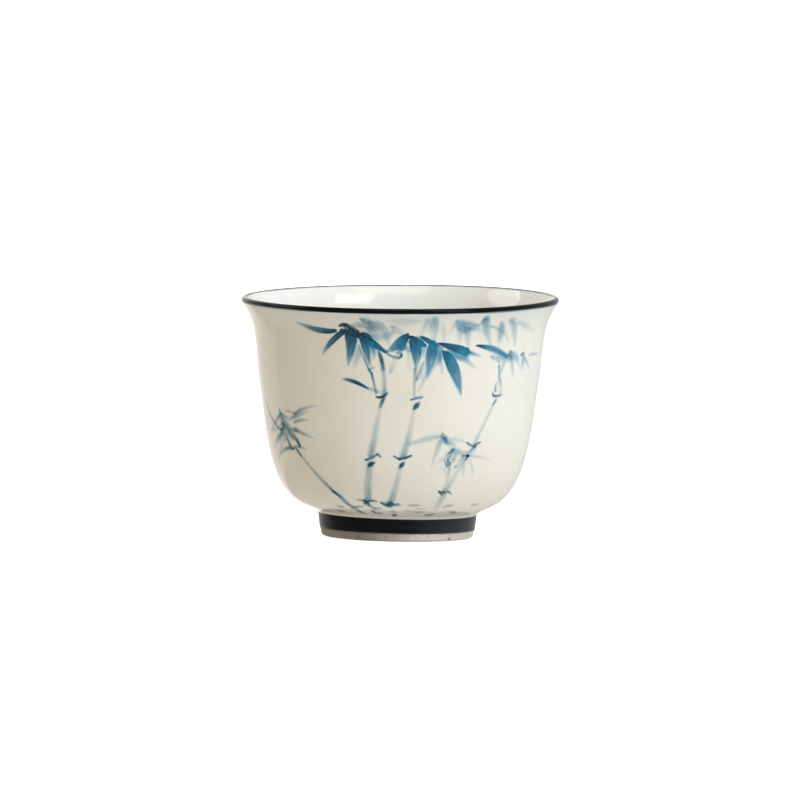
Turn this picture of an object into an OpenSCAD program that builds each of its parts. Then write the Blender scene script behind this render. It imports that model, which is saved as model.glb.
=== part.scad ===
// Teacup: a thin bell-shaped porcelain bowl on a ring foot, glazed inside and out,
// with a dark line on the lip, a dark band on the foot and a brushed bamboo design.
// The origin is the centre of the face the cup rests on, +Z is up, and the painted
// front faces -Y. Millimetres.

/* [Cup] */
// Diameter across the lip
rim_d = 74; // [70:0.5:80]
// Height from the table to the top of the lip
cup_h = 55.9; // [54:0.1:60]
// Radius of the rounded lip
lip_r = 0.8; // [0.7:0.05:0.9]
// Height of the inside floor above the table
floor_h = 7.3; // [7.1:0.1:8.1]
// Thickness of each coat of glaze
glaze_t = 0.3; // [0.2:0.05:0.4]

/* [Foot] */
// Diameter of the foot where it meets the bowl
foot_d = 37; // [36:0.1:38]
// Height of the foot ring
foot_h = 5.6; // [5.4:0.05:5.8]
// Height of the bare clay under the dark band
bare_h = 1.9; // [1.6:0.05:2.3]
// Width of the foot ring on its underside, with its rounded edges
ring_w = 3.2; // [2.8:0.1:3.6]
// Depth of the recess under the cup
recess_h = 4.2; // [4.05:0.05:4.4]

/* [Painting] */
// How far a brush stroke stands proud of the glaze
stroke_proud = 0.06; // [0.04:0.01:0.1]
// How far a brush stroke sinks into the glaze
stroke_sunk = 0.12; // [0.08:0.01:0.16]

/* [Hidden] */
$fn = 96;

// The outlines below are drawn for this size and stretched to the one asked for.
drawn_rim_d = 74;
drawn_cup_h = 55.9;
drawn_foot_h = 5.6;
wide = rim_d / drawn_rim_d;
tall = (cup_h - foot_h) / (drawn_cup_h - drawn_foot_h);

// Control points of the outside of the wall, [radius, height above the foot]
outside_control = [[18.5, 0], [18.9, 0.7], [23.7, 2.3], [26.6, 5.5], [28.9, 10.1],
                   [30.3, 15.8], [31.3, 21.4], [32.2, 29], [33, 33.5], [33.7, 44.4],
                   [36.9, 49.1]];
// Control points of the inside of the wall, from under the lip to the floor's edge
inside_control = [[33.9, 47.7], [32.7, 43.5], [31.5, 36.5], [30.5, 27.5], [29.3, 17],
                  [26.2, 7.3], [18.4, 2.8]];
floor_edge_r = 8;
floor_edge_rise = 0.2;

lip_steps = 10;
curve_steps = 3;
lip_from = -30;
lip_to = 150;

foot_r = foot_d / 2;
foot_taper = 0.12;
bare_step = 0.15;
ring_round = 0.9;
ring_side_angle = 355;
round_steps = 6;
ring_in_r = foot_r - foot_taper * foot_h - bare_step - ring_w;
recess_r = ring_in_r - glaze_t;
recess_round = 0.8;
glaze_foot_gap = 1.2;

// Brush strokes are rows of three places on the wall and the stroke's width at each:
// [angle from the front, height], the same, the same, [width, width, width]
stroke_turn = 5;
stroke_parts = 2;
slope_step = 0.01;

stalk_rows = [
    [[-15.4, 10.4], [-14.2, 14.6], [-12.9, 18.9], [1.7, 1.6, 1.4]],
    [[-12.3, 20.9], [-10.2, 26.1], [-8, 32.6], [1.4, 1.3, 0.7]],
    [[-3.6, 9.8], [-1, 14.1], [0.8, 18.6], [1.4, 1.2, 0.9]],
    [[1.9, 21], [4.4, 26.1], [6.1, 31.9], [1.4, 1.2, 0.8]],
    [[21.8, 8.8], [22.5, 10], [23.4, 11.5], [1.6, 1.3, 1.1]],
    [[24.3, 13], [27.2, 16.4], [31, 20.2], [1, 1.1, 0.9]],
    [[35, 24], [38.4, 27.8], [42.7, 32.5], [0.7, 0.8, 0.8]],
];

joint_rows = [
    [[-18, 10.1], [-16.8, 9.7], [-15.6, 9.1], [0.4, 0.7, 0.5]],
    [[-16.6, 9.8], [-13.8, 10], [-11.2, 9.9], [0.3, 0.35, 0.3]],
    [[-15.6, 7.5], [-14.8, 7.2], [-14, 7], [0.3, 0.6, 0.3]],
    [[-13.4, 18.5], [-12.2, 19], [-10.7, 19.3], [0.6, 1, 0.4]],
    [[-14.8, 19.9], [-11.9, 20.4], [-9.3, 21.3], [0.4, 0.4, 0.35]],
    [[-9.6, 21.3], [-8.8, 21.2], [-8, 20.7], [0.35, 0.4, 0.3]],
    [[-7.8, 32.6], [-6.7, 34.2], [-5.7, 35.5], [0.6, 0.8, 0.4]],
    [[-9.4, 34.9], [-7, 34.9], [-5, 35.9], [0.4, 0.6, 0.5]],
    [[-9.4, 9.3], [-7.6, 8.8], [-5, 8.6], [0.4, 0.6, 0.8]],
    [[-5.4, 8.7], [-3, 8.8], [-0.6, 9], [0.7, 0.5, 0.35]],
    [[0.7, 18.3], [1.6, 18.9], [2.6, 19.4], [0.5, 0.9, 0.4]],
    [[-2, 20.9], [-0.6, 20.5], [0.6, 20.2], [0.3, 0.35, 0.5]],
    [[0.4, 20.3], [3, 20.6], [5.6, 21.1], [0.5, 0.6, 0.4]],
    [[6.2, 32.2], [7.2, 32.9], [8.2, 33.5], [0.7, 1.3, 0.7]],
    [[4.8, 34.3], [7, 34.7], [9.4, 34.9], [0.3, 0.5, 0.45]],
    [[20.2, 12.5], [21.4, 12.2], [22.6, 11.6], [0.35, 0.55, 0.3]],
    [[23.4, 12.1], [25.4, 12.4], [27.2, 11.8], [0.3, 0.4, 0.3]],
    [[32.6, 21.5], [33.8, 22.3], [35.2, 23.2], [0.3, 0.5, 0.4]],
    [[31, 24.1], [33.4, 23.4], [35.2, 23.5], [0.35, 0.45, 0.35]],
    [[42.9, 32.9], [43.7, 33.4], [44.5, 34], [0.4, 0.6, 0.4]],
    [[42, 35.5], [43.3, 34.8], [47, 35], [0.35, 0.5, 0.4]],
    [[-34, 12.2], [-32.6, 11.6], [-31.2, 10.9], [0.4, 0.8, 0.5]],
];

twig_rows = [
    [[-8.4, 45.6], [-7.4, 43.9], [-6.6, 41.4], [0.4, 0.9, 0.7]],
    [[-6.6, 41.6], [-6.1, 38.6], [-6.4, 35.4], [0.7, 0.8, 0.9]],
    [[-9.5, 35.7], [-10.4, 38.2], [-11.4, 40.6], [0.35, 0.35, 0.5]],
    [[6.2, 35.2], [6.1, 38.1], [6.3, 41.6], [0.5, 0.5, 0.6]],
    [[6.9, 39], [7.9, 40.8], [9.6, 43.2], [0.35, 0.5, 0.3]],
    [[43.4, 36], [43.2, 37], [43.4, 37.8], [0.5, 0.5, 0.4]],
    [[45.6, 37.6], [44.6, 39.8], [44.2, 41.8], [0.9, 0.5, 0.5]],
    [[-22.6, 6.9], [-26.6, 8.4], [-30.8, 10.8], [0.35, 0.6, 0.8]],
    [[-34, 12.1], [-41, 15.9], [-48.6, 19.9], [0.8, 0.7, 0.5]],
    [[-48.8, 19.9], [-50.2, 20.7], [-51.8, 21.6], [0.4, 0.5, 0.3]],
    [[22.8, 13.2], [23.6, 16.2], [23.5, 18.6], [0.9, 0.7, 0.6]],
];

dark_rows = [
    [[-23.2, 50.5], [-19.8, 50], [-15.9, 49.2], [0.5, 1.2, 1.2]],
    [[-25.7, 50.3], [-33.4, 50.3], [-43.4, 51.9], [0.7, 1.2, 0.15]],
    [[-21.9, 50.2], [-27.4, 47.8], [-32.4, 44.4], [0.9, 1.2, 0.15]],
    [[-19.4, 49.4], [-19.7, 46.4], [-21.2, 41.9], [2.7, 2.1, 0.15]],
    [[-18.6, 50.2], [-11.6, 47.8], [-5.4, 45.5], [0.7, 1.5, 0.3]],
    [[-14.6, 48.6], [-13.2, 45.6], [-12.4, 42.2], [1.3, 1.3, 0.15]],
    [[3, 49.9], [0.4, 47.9], [-4.8, 45.7], [0.4, 2.2, 0.3]],
    [[3.3, 49.4], [6.6, 48.2], [10, 47.1], [0.3, 1.5, 0.6]],
    [[5.3, 47.9], [6.5, 45.7], [6.5, 41.5], [1.9, 2.4, 0.15]],
    [[8, 49.3], [11, 48.3], [14.2, 47.2], [0.25, 1, 0.6]],
    [[15.6, 47.6], [22, 46.5], [27.2, 45.5], [0.4, 1.6, 1.9]],
    [[17.6, 45.6], [22.4, 41.8], [26.8, 35.3], [0.6, 2.3, 0.15]],
    [[-24.4, 38.8], [-18.9, 38.4], [-12.6, 36.7], [0.15, 0.8, 0.2]],
];

middle_rows = [
    [[12.9, 47.6], [12.6, 44.2], [11.1, 39.1], [1.5, 2.4, 0.15]],
    [[28, 45.4], [31, 44.9], [35.5, 44.2], [1, 0.6, 0.15]],
    [[31.9, 46.9], [40, 45.9], [47.6, 44.1], [0.3, 1.3, 0.9]],
    [[47.5, 44], [49.5, 43.6], [51, 43.1], [0.5, 0.4, 0.3]],
    [[21.6, 52.9], [26, 52.3], [31.5, 51.7], [0.5, 1.2, 0.3]],
    [[22.3, 51.8], [25, 51.2], [29, 50.7], [0.9, 1.8, 0.8]],
    [[31.3, 51.9], [32.5, 52.6], [33.4, 53.2], [0.2, 0.4, 0.5]],
    [[57.3, 43.7], [59, 44.3], [60.6, 44], [0.25, 0.45, 0.25]],
    [[-14.8, 53.4], [-11.8, 52.4], [-8.4, 51], [0.4, 1.7, 0.9]],
];

pale_rows = [
    [[-15.9, 47.1], [-16.9, 44.6], [-19, 41.2], [0.5, 1.5, 0.2]],
    [[14.8, 46.6], [16.4, 43.6], [17.7, 39.8], [1.2, 0.9, 0.15]],
    [[19.5, 45.8], [26, 44], [32.3, 41.5], [0.8, 1.2, 0.2]],
    [[-1.4, 44.6], [-2.4, 42.8], [-3.7, 40.8], [0.7, 1, 0.6]],
    [[-4.9, 45.2], [-3, 44.5], [-0.5, 44.1], [0.3, 0.4, 0.4]],
    [[49.6, 44.6], [53, 44], [55, 42.7], [0.5, 1.7, 0.8]],
    [[51.5, 43.2], [52.5, 40.7], [53.6, 38.5], [1.2, 0.9, 0.2]],
    [[54.8, 43.5], [57, 41.7], [60, 39.9], [0.9, 0.7, 0.2]],
    [[59.5, 43.7], [62.5, 42.3], [67, 40.2], [0.5, 0.9, 0.2]],
    [[64, 43.7], [69, 43.8], [75, 43.6], [0.3, 0.5, 0.3]],
    [[-11.2, 52.3], [-10.4, 50.4], [-9.6, 48.2], [1.6, 2.2, 1.2]],
    [[-8.9, 52.6], [-6, 50.6], [-4.6, 47.4], [0.9, 1.8, 0.4]],
    [[-3.4, 51.7], [-1.3, 50.8], [1.5, 49.4], [0.3, 1.6, 0.8]],
    [[10, 53.4], [11.2, 52.2], [11.4, 49.8], [0.5, 0.9, 0.3]],
    [[12.9, 53.3], [13.4, 51.1], [13.2, 48.2], [1.6, 1.5, 0.8]],
    [[23.6, 51], [24, 49.2], [23.8, 47.3], [1.3, 1.2, 0.4]],
    [[26.9, 50.6], [27.4, 48.6], [28.3, 46.6], [1.5, 1.3, 0.5]],
    [[33.8, 53], [35.4, 50.6], [38.8, 47.1], [1.9, 1.7, 0.5]],
    [[41.6, 52], [43, 50], [42.8, 46.6], [1, 1.9, 0.4]],
    [[46, 52.6], [50, 50.7], [52.6, 46.3], [0.9, 1.7, 0.4]],
    [[51.2, 52], [57, 50.9], [66, 49.3], [0.4, 1.3, 0.4]],
];

left_rows = [
    [[-58.6, 26.7], [-54.8, 26.4], [-49.4, 25.8], [0.9, 1.1, 0.6]],
    [[-50.4, 26.2], [-45, 25.3], [-39, 24.6], [0.9, 0.6, 0.2]],
    [[-54.4, 25.6], [-51.2, 24.4], [-48.7, 22.4], [0.9, 1.1, 0.7]],
    [[-49.9, 29.8], [-44, 31.3], [-36.6, 32.2], [0.5, 0.7, 0.2]],
    [[-50.6, 27.9], [-46, 28.5], [-41, 28.6], [0.4, 0.6, 0.2]],
    [[-61.2, 30.6], [-58.9, 28.6], [-55.4, 27.3], [0.4, 1.5, 0.9]],
    [[-61.4, 28.9], [-66.4, 27.3], [-71.4, 25.5], [0.8, 0.9, 0.2]],
    [[-60.4, 25], [-66.4, 23.3], [-71.4, 21], [1.2, 1, 0.2]],
    [[-57.4, 24.7], [-56.4, 23.1], [-54.7, 21.5], [0.9, 0.9, 0.6]],
    [[-54.4, 21.5], [-61.9, 20.9], [-70.4, 18.3], [0.5, 0.8, 0.15]],
];

right_rows = [
    [[18.4, 25.8], [12, 25.1], [3.5, 23.8], [0.7, 1.1, 0.4]],
    [[19.2, 25.8], [20.2, 25], [21.3, 24.3], [0.9, 1.4, 0.8]],
    [[18.4, 24.6], [16.8, 22], [15, 18.3], [1, 0.9, 0.2]],
    [[21.8, 25], [25.6, 24.9], [30.6, 24.1], [0.5, 0.8, 0.3]],
    [[23.4, 21.8], [24.1, 22.2], [24.9, 22.6], [0.5, 0.7, 0.4]],
    [[24.8, 22.3], [27.6, 21.8], [30.8, 21], [0.8, 1.1, 0.8]],
    [[21.9, 21.4], [22.6, 20.7], [22.6, 19.7], [0.7, 0.8, 0.6]],
    [[21.9, 21.2], [20, 20.3], [17.2, 19.3], [0.6, 0.7, 0.2]],
    [[33.4, 20.9], [39.6, 20.4], [45.6, 19.6], [0.8, 0.6, 0.2]],
    [[33.4, 20], [35, 18.6], [36.6, 16.9], [0.7, 0.5, 0.4]],
    [[30.2, 20], [30.6, 18.5], [31.8, 16], [1.1, 1, 0.3]],
];

ground_rows = [
    [[-41.5, 7.1], [-39, 6.9], [-36.5, 7], [0.25, 0.4, 0.25]],
    [[-36.5, 8.3], [-34.5, 8.1], [-32.5, 8.2], [0.25, 0.4, 0.25]],
    [[-27.5, 8], [-23.5, 8.3], [-19.5, 8.5], [0.3, 0.45, 0.25]],
    [[-14.5, 6.8], [-12, 6.9], [-9.5, 6.9], [0.25, 0.35, 0.25]],
    [[5, 9], [8.5, 9.1], [12, 9], [0.25, 0.45, 0.25]],
    [[10, 7.4], [12.5, 7.3], [16, 7.4], [0.25, 0.4, 0.25]],
    [[18, 6.7], [21, 6.6], [24, 6.7], [0.25, 0.4, 0.25]],
    [[26, 8.6], [28.5, 8.8], [31, 8.9], [0.25, 0.4, 0.25]],
    [[33, 7.4], [36.5, 7.1], [40, 6.9], [0.25, 0.4, 0.25]],
    [[44, 8.9], [47, 8.8], [50, 8.9], [0.25, 0.4, 0.25]],
];

// Curves: a uniform cubic B-spline that starts and ends on its first and last points

function spline_point(p, k, t) =
    (pow(1 - t, 3) * p[k] + (3 * pow(t, 3) - 6 * pow(t, 2) + 4) * p[k + 1]
     + (1 + 3 * t + 3 * pow(t, 2) - 3 * pow(t, 3)) * p[k + 2] + pow(t, 3) * p[k + 3]) / 6;

function spline(control, steps) =
    let (last = len(control) - 1,
         p = concat([2 * control[0] - control[1]], control,
                    [2 * control[last] - control[last - 1]]))
    concat([for (k = [0 : last - 1], s = [0 : steps - 1]) spline_point(p, k, s / steps)],
           [control[last]]);

function arc(centre, radius, from, to, steps) =
    [for (s = [0 : steps]) let (a = from + (to - from) * s / steps)
     centre + radius * [cos(a), sin(a)]];

function stretched(points) = [for (p = points) [p[0] * wide, foot_h + p[1] * tall]];
function reversed(points) = [for (i = [len(points) - 1 : -1 : 0]) points[i]];
function slice(points, from, to) = [for (i = [from : to]) points[i]];

// The point's place moved to the left of the path by the glaze's thickness
function unit(v) = v / norm(v);
function left_of(v) = [-v[1], v[0]];
function inset(points) =
    [for (i = [0 : len(points) - 1])
     let (before = points[max(i, 1)] - points[max(i, 1) - 1],
          after = points[min(i, len(points) - 2) + 1] - points[min(i, len(points) - 2)],
          along = unit(unit(before) + unit(after)))
     points[i] + glaze_t * left_of(along)];

// The glazed surface, from the top of the foot over the lip to the middle of the floor

lip_centre = [rim_d / 2 - lip_r, cup_h - lip_r];
lip_arc = arc(lip_centre, lip_r, lip_from, lip_to, lip_steps);
outside = spline(concat([[foot_r, foot_h]],
                        slice(stretched(outside_control), 1, len(outside_control) - 2),
                        [lip_arc[0]]), curve_steps);
inside = spline(concat([lip_arc[lip_steps]], stretched(inside_control),
                       [[floor_edge_r, floor_h + floor_edge_rise], [floor_edge_r / 2, floor_h],
                        [0, floor_h]]), curve_steps);
skin = concat(outside, slice(lip_arc, 1, lip_steps), slice(inside, 1, len(inside) - 1));
lip_first = len(outside) - 1;
lip_last = lip_first + lip_steps;
skin_last = len(skin) - 1;
core = let (moved = inset(skin))
    concat([[foot_r - glaze_t, foot_h]], slice(moved, 1, skin_last - 1),
           [[0, floor_h - glaze_t]]);

module glaze_coat(first, last) {
    rotate_extrude()
        polygon(concat(slice(skin, first, last), reversed(slice(core, first, last))));
}

// Radius of the foot's painted surface at a height
function foot_surface(height) = foot_r - (foot_h - height) * foot_taper;

// Fired clay

module bowl_body() {
    color([0.86, 0.84, 0.79])
        rotate_extrude()
            polygon(concat(core, [[0, recess_h + glaze_t], [ring_in_r, recess_h + glaze_t],
                                  [ring_in_r, foot_h]]));
}

module foot_ring() {
    base_r = foot_surface(0) - bare_step;
    color([0.78, 0.74, 0.70])
        rotate_extrude()
            polygon(concat(
                [[ring_in_r, foot_h], [ring_in_r, ring_round]],
                arc([ring_in_r + ring_round, ring_round], ring_round, 180, 270, round_steps),
                arc([base_r - ring_round, ring_round], ring_round, 270, ring_side_angle,
                    round_steps),
                [[foot_surface(bare_h) - bare_step, bare_h],
                 [foot_surface(bare_h) - glaze_t, bare_h], [foot_r - glaze_t, foot_h]]));
}

// Glaze and slip

module outer_glaze() {
    color([0.91, 0.90, 0.85]) glaze_coat(0, lip_first);
}

module rim_line() {
    color([0.06, 0.08, 0.10]) glaze_coat(lip_first, lip_last);
}

module inner_glaze() {
    color([0.93, 0.93, 0.90]) glaze_coat(lip_last, skin_last);
}

module base_glaze() {
    color([0.91, 0.90, 0.85])
        rotate_extrude()
            polygon(concat(
                [[0, recess_h + glaze_t], [0, recess_h]],
                arc([recess_r - recess_round, recess_h - recess_round], recess_round, 90, 0,
                    round_steps),
                [[recess_r, glaze_foot_gap], [ring_in_r, glaze_foot_gap],
                 [ring_in_r, recess_h + glaze_t]]));
}

module foot_band() {
    color([0.09, 0.09, 0.12])
        rotate_extrude()
            polygon([[foot_surface(bare_h) - glaze_t, bare_h], [foot_surface(bare_h), bare_h],
                     [foot_r, foot_h], [foot_r - glaze_t, foot_h]]);
}

// Brush strokes

wall_radii = [for (p = outside) [p[1], p[0]]];
function wall_r(height) = lookup(height, wall_radii);
function on_wall(place, out) =
    let (r = wall_r(place[1]) + out)
    [r * sin(place[0]), -r * cos(place[0]), place[1]];

// A smooth value that passes through a, b and c at t = 0, 1/2 and 1
function through(a, b, c, t) =
    a * (2 * t - 1) * (t - 1) + b * 4 * t * (1 - t) + c * t * (2 * t - 1);

function stroke_place(row, t) =
    let (p = through(row[0], row[1], row[2], t))
    [p[0], foot_h + (p[1] - drawn_foot_h) * tall];

// The stroke's two edges at t, each as a point in the glaze and a point on it
function stroke_section(row, t) =
    let (place = stroke_place(row, t),
         mm_a_degree = wall_r(place[1]) * PI / 180,
         ahead = stroke_place(row, t + slope_step) - stroke_place(row, t - slope_step),
         across = left_of(unit([ahead[0] * mm_a_degree, ahead[1]])),
         half = through(row[3][0], row[3][1], row[3][2], t) / 2,
         step = [across[0] / mm_a_degree, across[1]] * half)
    [on_wall(place - step, -stroke_sunk), on_wall(place - step, stroke_proud),
     on_wall(place + step, stroke_proud), on_wall(place + step, -stroke_sunk)];

module stroke(row) {
    parts = max(stroke_parts, ceil(abs(row[2][0] - row[0][0]) / stroke_turn));
    for (i = [0 : parts - 1])
        hull()
            polyhedron(concat(stroke_section(row, i / parts),
                              stroke_section(row, (i + 1) / parts)),
                       [[0, 1, 2, 3], [7, 6, 5, 4], [0, 4, 5, 1], [1, 5, 6, 2],
                        [2, 6, 7, 3], [3, 7, 4, 0]]);
}

module brushwork(rows) {
    for (row = rows) stroke(row);
}

module bamboo_stalks() {
    color([0.66, 0.69, 0.68]) brushwork(stalk_rows);
}

module joint_marks() {
    color([0.16, 0.24, 0.35]) brushwork(joint_rows);
}

module twigs() {
    color([0.45, 0.50, 0.54]) brushwork(twig_rows);
}

module dark_leaves() {
    color([0.09, 0.22, 0.36]) brushwork(dark_rows);
}

module middle_leaves() {
    color([0.28, 0.45, 0.57]) brushwork(middle_rows);
}

module pale_leaves() {
    color([0.62, 0.70, 0.71]) brushwork(pale_rows);
}

module left_spray() {
    color([0.37, 0.46, 0.49]) brushwork(left_rows);
}

module right_spray() {
    color([0.56, 0.68, 0.73]) brushwork(right_rows);
}

module ground_strokes() {
    color([0.61, 0.62, 0.60]) brushwork(ground_rows);
}

bowl_body();
foot_ring();
outer_glaze();
inner_glaze();
base_glaze();
rim_line();
foot_band();
bamboo_stalks();
joint_marks();
twigs();
dark_leaves();
middle_leaves();
pale_leaves();
left_spray();
right_spray();
ground_strokes();
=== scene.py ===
"""The looks of the teacup: glossy glaze, dark rim line and foot band, bare clay and brushed bamboo.

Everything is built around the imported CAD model. The turned pieces take their outlines from the CAD
nodes that they replace, and every brush stroke lies on the outer glaze's own surface.
"""
import math

import bpy
import numpy as np
from mathutils import Matrix, Vector


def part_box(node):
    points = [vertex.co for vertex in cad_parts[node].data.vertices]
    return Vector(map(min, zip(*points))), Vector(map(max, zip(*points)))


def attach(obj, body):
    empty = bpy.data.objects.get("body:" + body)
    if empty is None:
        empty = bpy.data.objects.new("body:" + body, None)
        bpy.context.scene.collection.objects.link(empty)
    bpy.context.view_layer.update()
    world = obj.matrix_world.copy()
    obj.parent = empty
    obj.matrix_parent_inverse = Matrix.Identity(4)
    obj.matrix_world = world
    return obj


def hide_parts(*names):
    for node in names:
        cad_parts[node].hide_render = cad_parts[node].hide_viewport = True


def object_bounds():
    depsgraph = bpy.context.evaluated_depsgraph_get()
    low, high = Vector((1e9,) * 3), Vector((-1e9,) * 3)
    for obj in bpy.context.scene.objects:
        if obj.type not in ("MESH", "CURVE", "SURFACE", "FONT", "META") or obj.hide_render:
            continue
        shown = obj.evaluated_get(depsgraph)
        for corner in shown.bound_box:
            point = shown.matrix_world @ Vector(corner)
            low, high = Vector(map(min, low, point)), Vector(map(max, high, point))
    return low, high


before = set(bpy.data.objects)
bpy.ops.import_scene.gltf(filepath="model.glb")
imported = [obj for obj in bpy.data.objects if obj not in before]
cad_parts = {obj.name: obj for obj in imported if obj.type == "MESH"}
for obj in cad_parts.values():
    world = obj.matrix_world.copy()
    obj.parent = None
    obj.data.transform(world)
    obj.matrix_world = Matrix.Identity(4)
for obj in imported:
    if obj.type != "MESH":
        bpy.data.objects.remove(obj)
CAD_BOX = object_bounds()

MM = 0.001
CUP_W = CAD_BOX[1].x - CAD_BOX[0].x
CUP_H = CAD_BOX[1].z - CAD_BOX[0].z
RNG = np.random.default_rng(7)


# --- Outlines of the turned CAD nodes -------------------------------------------------------------

SAME_PLACE = 1e-6
STRAIGHT_DEGREES = 0.05
CORNER_DEGREES = 45


def cad_outline(node):
    """The outline that a turned CAD node was made from, as rows of radius and height in order.

    It is the chain of the node's edges in the half-plane y = 0, x >= 0. A chain with loose ends is closed
    along the axis.
    """
    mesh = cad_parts[node].data
    places, joined = {}, {}
    for edge in mesh.edges:
        ends = [mesh.vertices[i].co for i in edge.vertices]
        if any(abs(p.y) > SAME_PLACE or p.x < -SAME_PLACE for p in ends):
            continue
        keys = [(round(p.x, 6), round(p.z, 6)) for p in ends]
        if keys[0] == keys[1]:
            continue
        for key, other, place in ((keys[0], keys[1], ends[0]), (keys[1], keys[0], ends[1])):
            places[key] = (max(place.x, 0.0), place.z)
            joined.setdefault(key, set()).add(other)
    here = min(joined, key=lambda k: (len(joined[k]), k[1], -k[0]))
    chain, before = [here], None
    while True:
        ahead = sorted(k for k in joined[here] if k != before and k not in chain[1:])
        ahead = [k for k in ahead if k != chain[0] or len(chain) > 2]
        if not ahead or ahead[0] == chain[0]:
            break
        before, here = here, ahead[0]
        chain.append(here)
    outline = [places[k] for k in chain]
    if len(joined[chain[0]]) == 1:
        # A flat face that crosses the axis has no vertex there.
        first, last = outline[0], outline[-1]
        outline = [(0.0, first[1])] * (first[0] > SAME_PLACE) + outline
        outline += [(0.0, last[1])] * (last[0] > SAME_PLACE)
    return without_straight_points(np.array(outline))


def turn_degrees(points):
    """How far the closed chain of points turns at each point, in degrees."""
    before = points - np.roll(points, 1, 0)
    after = np.roll(points, -1, 0) - points
    cross = before[:, 0] * after[:, 1] - before[:, 1] * after[:, 0]
    return np.degrees(np.arctan2(np.abs(cross), (before * after).sum(1)))


def without_straight_points(points):
    return points[turn_degrees(points) > STRAIGHT_DEGREES]


def runs_between_corners(points):
    """The closed chain as the stretches between its sharp corners, each with both its corners."""
    corners = np.flatnonzero(turn_degrees(points) > CORNER_DEGREES)
    runs = []
    for first, last in zip(corners, np.append(corners[1:], corners[0] + len(points))):
        runs.append(points[np.arange(first, last + 1) % len(points)])
    return runs


def smooth_run(points, step):
    """A natural cubic spline through the points, as points about step apart."""
    if len(points) < 4:
        return straight_run(points, step)
    t = np.append(0, np.cumsum(np.linalg.norm(np.diff(points, axis=0), axis=1)))
    gap = np.diff(t)
    n = len(points)
    system, known = np.eye(n), np.zeros((n, 2))
    slope = np.diff(points, axis=0) / gap[:, None]
    for i in range(1, n - 1):
        system[i, i - 1:i + 2] = gap[i - 1], 2 * (gap[i - 1] + gap[i]), gap[i]
        known[i] = 6 * (slope[i] - slope[i - 1])
    bend = np.linalg.solve(system, known)
    at = np.linspace(0, t[-1], max(2, int(math.ceil(t[-1] / step))) + 1)
    k = np.clip(np.searchsorted(t, at, side="right") - 1, 0, n - 2)
    a, b = (t[k + 1] - at)[:, None], (at - t[k])[:, None]
    h = gap[k][:, None]
    return (
        (bend[k] * a**3 + bend[k + 1] * b**3) / (6 * h)
        + (points[k] / h - bend[k] * h / 6) * a
        + (points[k + 1] / h - bend[k + 1] * h / 6) * b
    )


def straight_run(points, step):
    """The chain of straight lines through the points, as points no more than step apart."""
    rows = []
    for start, end in zip(points[:-1], points[1:]):
        parts = max(1, int(math.ceil(np.linalg.norm(end - start) / step)))
        rows += [start + (end - start) * i / parts for i in range(parts)]
    return np.array(rows + [points[-1]])


def fine_outline(points, step, curved):
    """The closed outline with its corners kept and the stretches between them made fine."""
    finer = smooth_run if curved else straight_run
    outline = np.concatenate([finer(run, step)[:-1] for run in runs_between_corners(points)])
    on_axis = outline[:, 0] < SAME_PLACE
    return outline[~(on_axis & np.roll(on_axis, 1) & np.roll(on_axis, -1))]


# --- The thrown shape -----------------------------------------------------------------------------

SPIN_STEPS = 288
UNROUND = 0.05 * MM
LIP_WAVE = 0.09 * MM
LIP_TILT = 0.45 * MM
LIP_HIGHEST_AT = math.radians(140)
LEAN = math.radians(0.5)
LEANS_FROM = 12 * MM
BAND_SAG = 0.3 * MM
BAND_SAGS_AT = (math.radians(45), 5.6 * MM)
BAND_REACH = 1.6 * MM


def hand_made(radius, angle, height):
    """Moves a point of the perfect turned shape as throwing and firing do: more towards the lip."""
    share = np.clip(height / CUP_H, 0, 1) ** 2
    radius = radius + UNROUND * share * (np.cos(2 * angle + 0.7) + 0.5 * np.cos(3 * angle + 2.1))
    height = height + LIP_WAVE * share**3 * (np.cos(2 * angle + 1.9) + 0.4 * np.cos(5 * angle)) / 1.4
    height = height + LIP_TILT * share**3 * np.cos(angle - LIP_HIGHEST_AT)
    near_band = np.exp(-((height - BAND_SAGS_AT[1]) / BAND_REACH) ** 2)
    height = height - BAND_SAG * near_band * (0.5 + 0.5 * np.cos(angle - BAND_SAGS_AT[0])) ** 2
    return radius, angle, height


def on_cup(radius, angle, height):
    """Places as x, y, z. The angle runs from the painted front, which faces -Y, towards +X."""
    radius, angle, height = hand_made(radius, angle, height)
    x, y = radius * np.sin(angle), -radius * np.cos(angle)
    leaning = LEAN * np.clip(height / LEANS_FROM, 0, 1)
    return np.stack([x - LEAN * height, y, height + leaning * x], axis=-1)


def mesh_piece(name, points, faces, material):
    mesh = bpy.data.meshes.new(name)
    mesh.from_pydata([tuple(p) for p in points], [], faces)
    mesh.materials.append(material)
    mesh.polygons.foreach_set("use_smooth", [True] * len(mesh.polygons))
    mesh.update()
    piece = bpy.data.objects.new(name, mesh)
    bpy.context.scene.collection.objects.link(piece)
    return piece


def with_facts(piece, facts):
    """Keeps numbers at each of the piece's points, for its material to read, and marks its corners."""
    for key, values in facts.items():
        attribute = piece.data.attributes.new(key, "FLOAT", "POINT")
        attribute.data.foreach_set("value", values.astype(np.float32))
    piece.data.set_sharp_from_angle(angle=math.radians(CORNER_DEGREES))
    return piece


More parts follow.
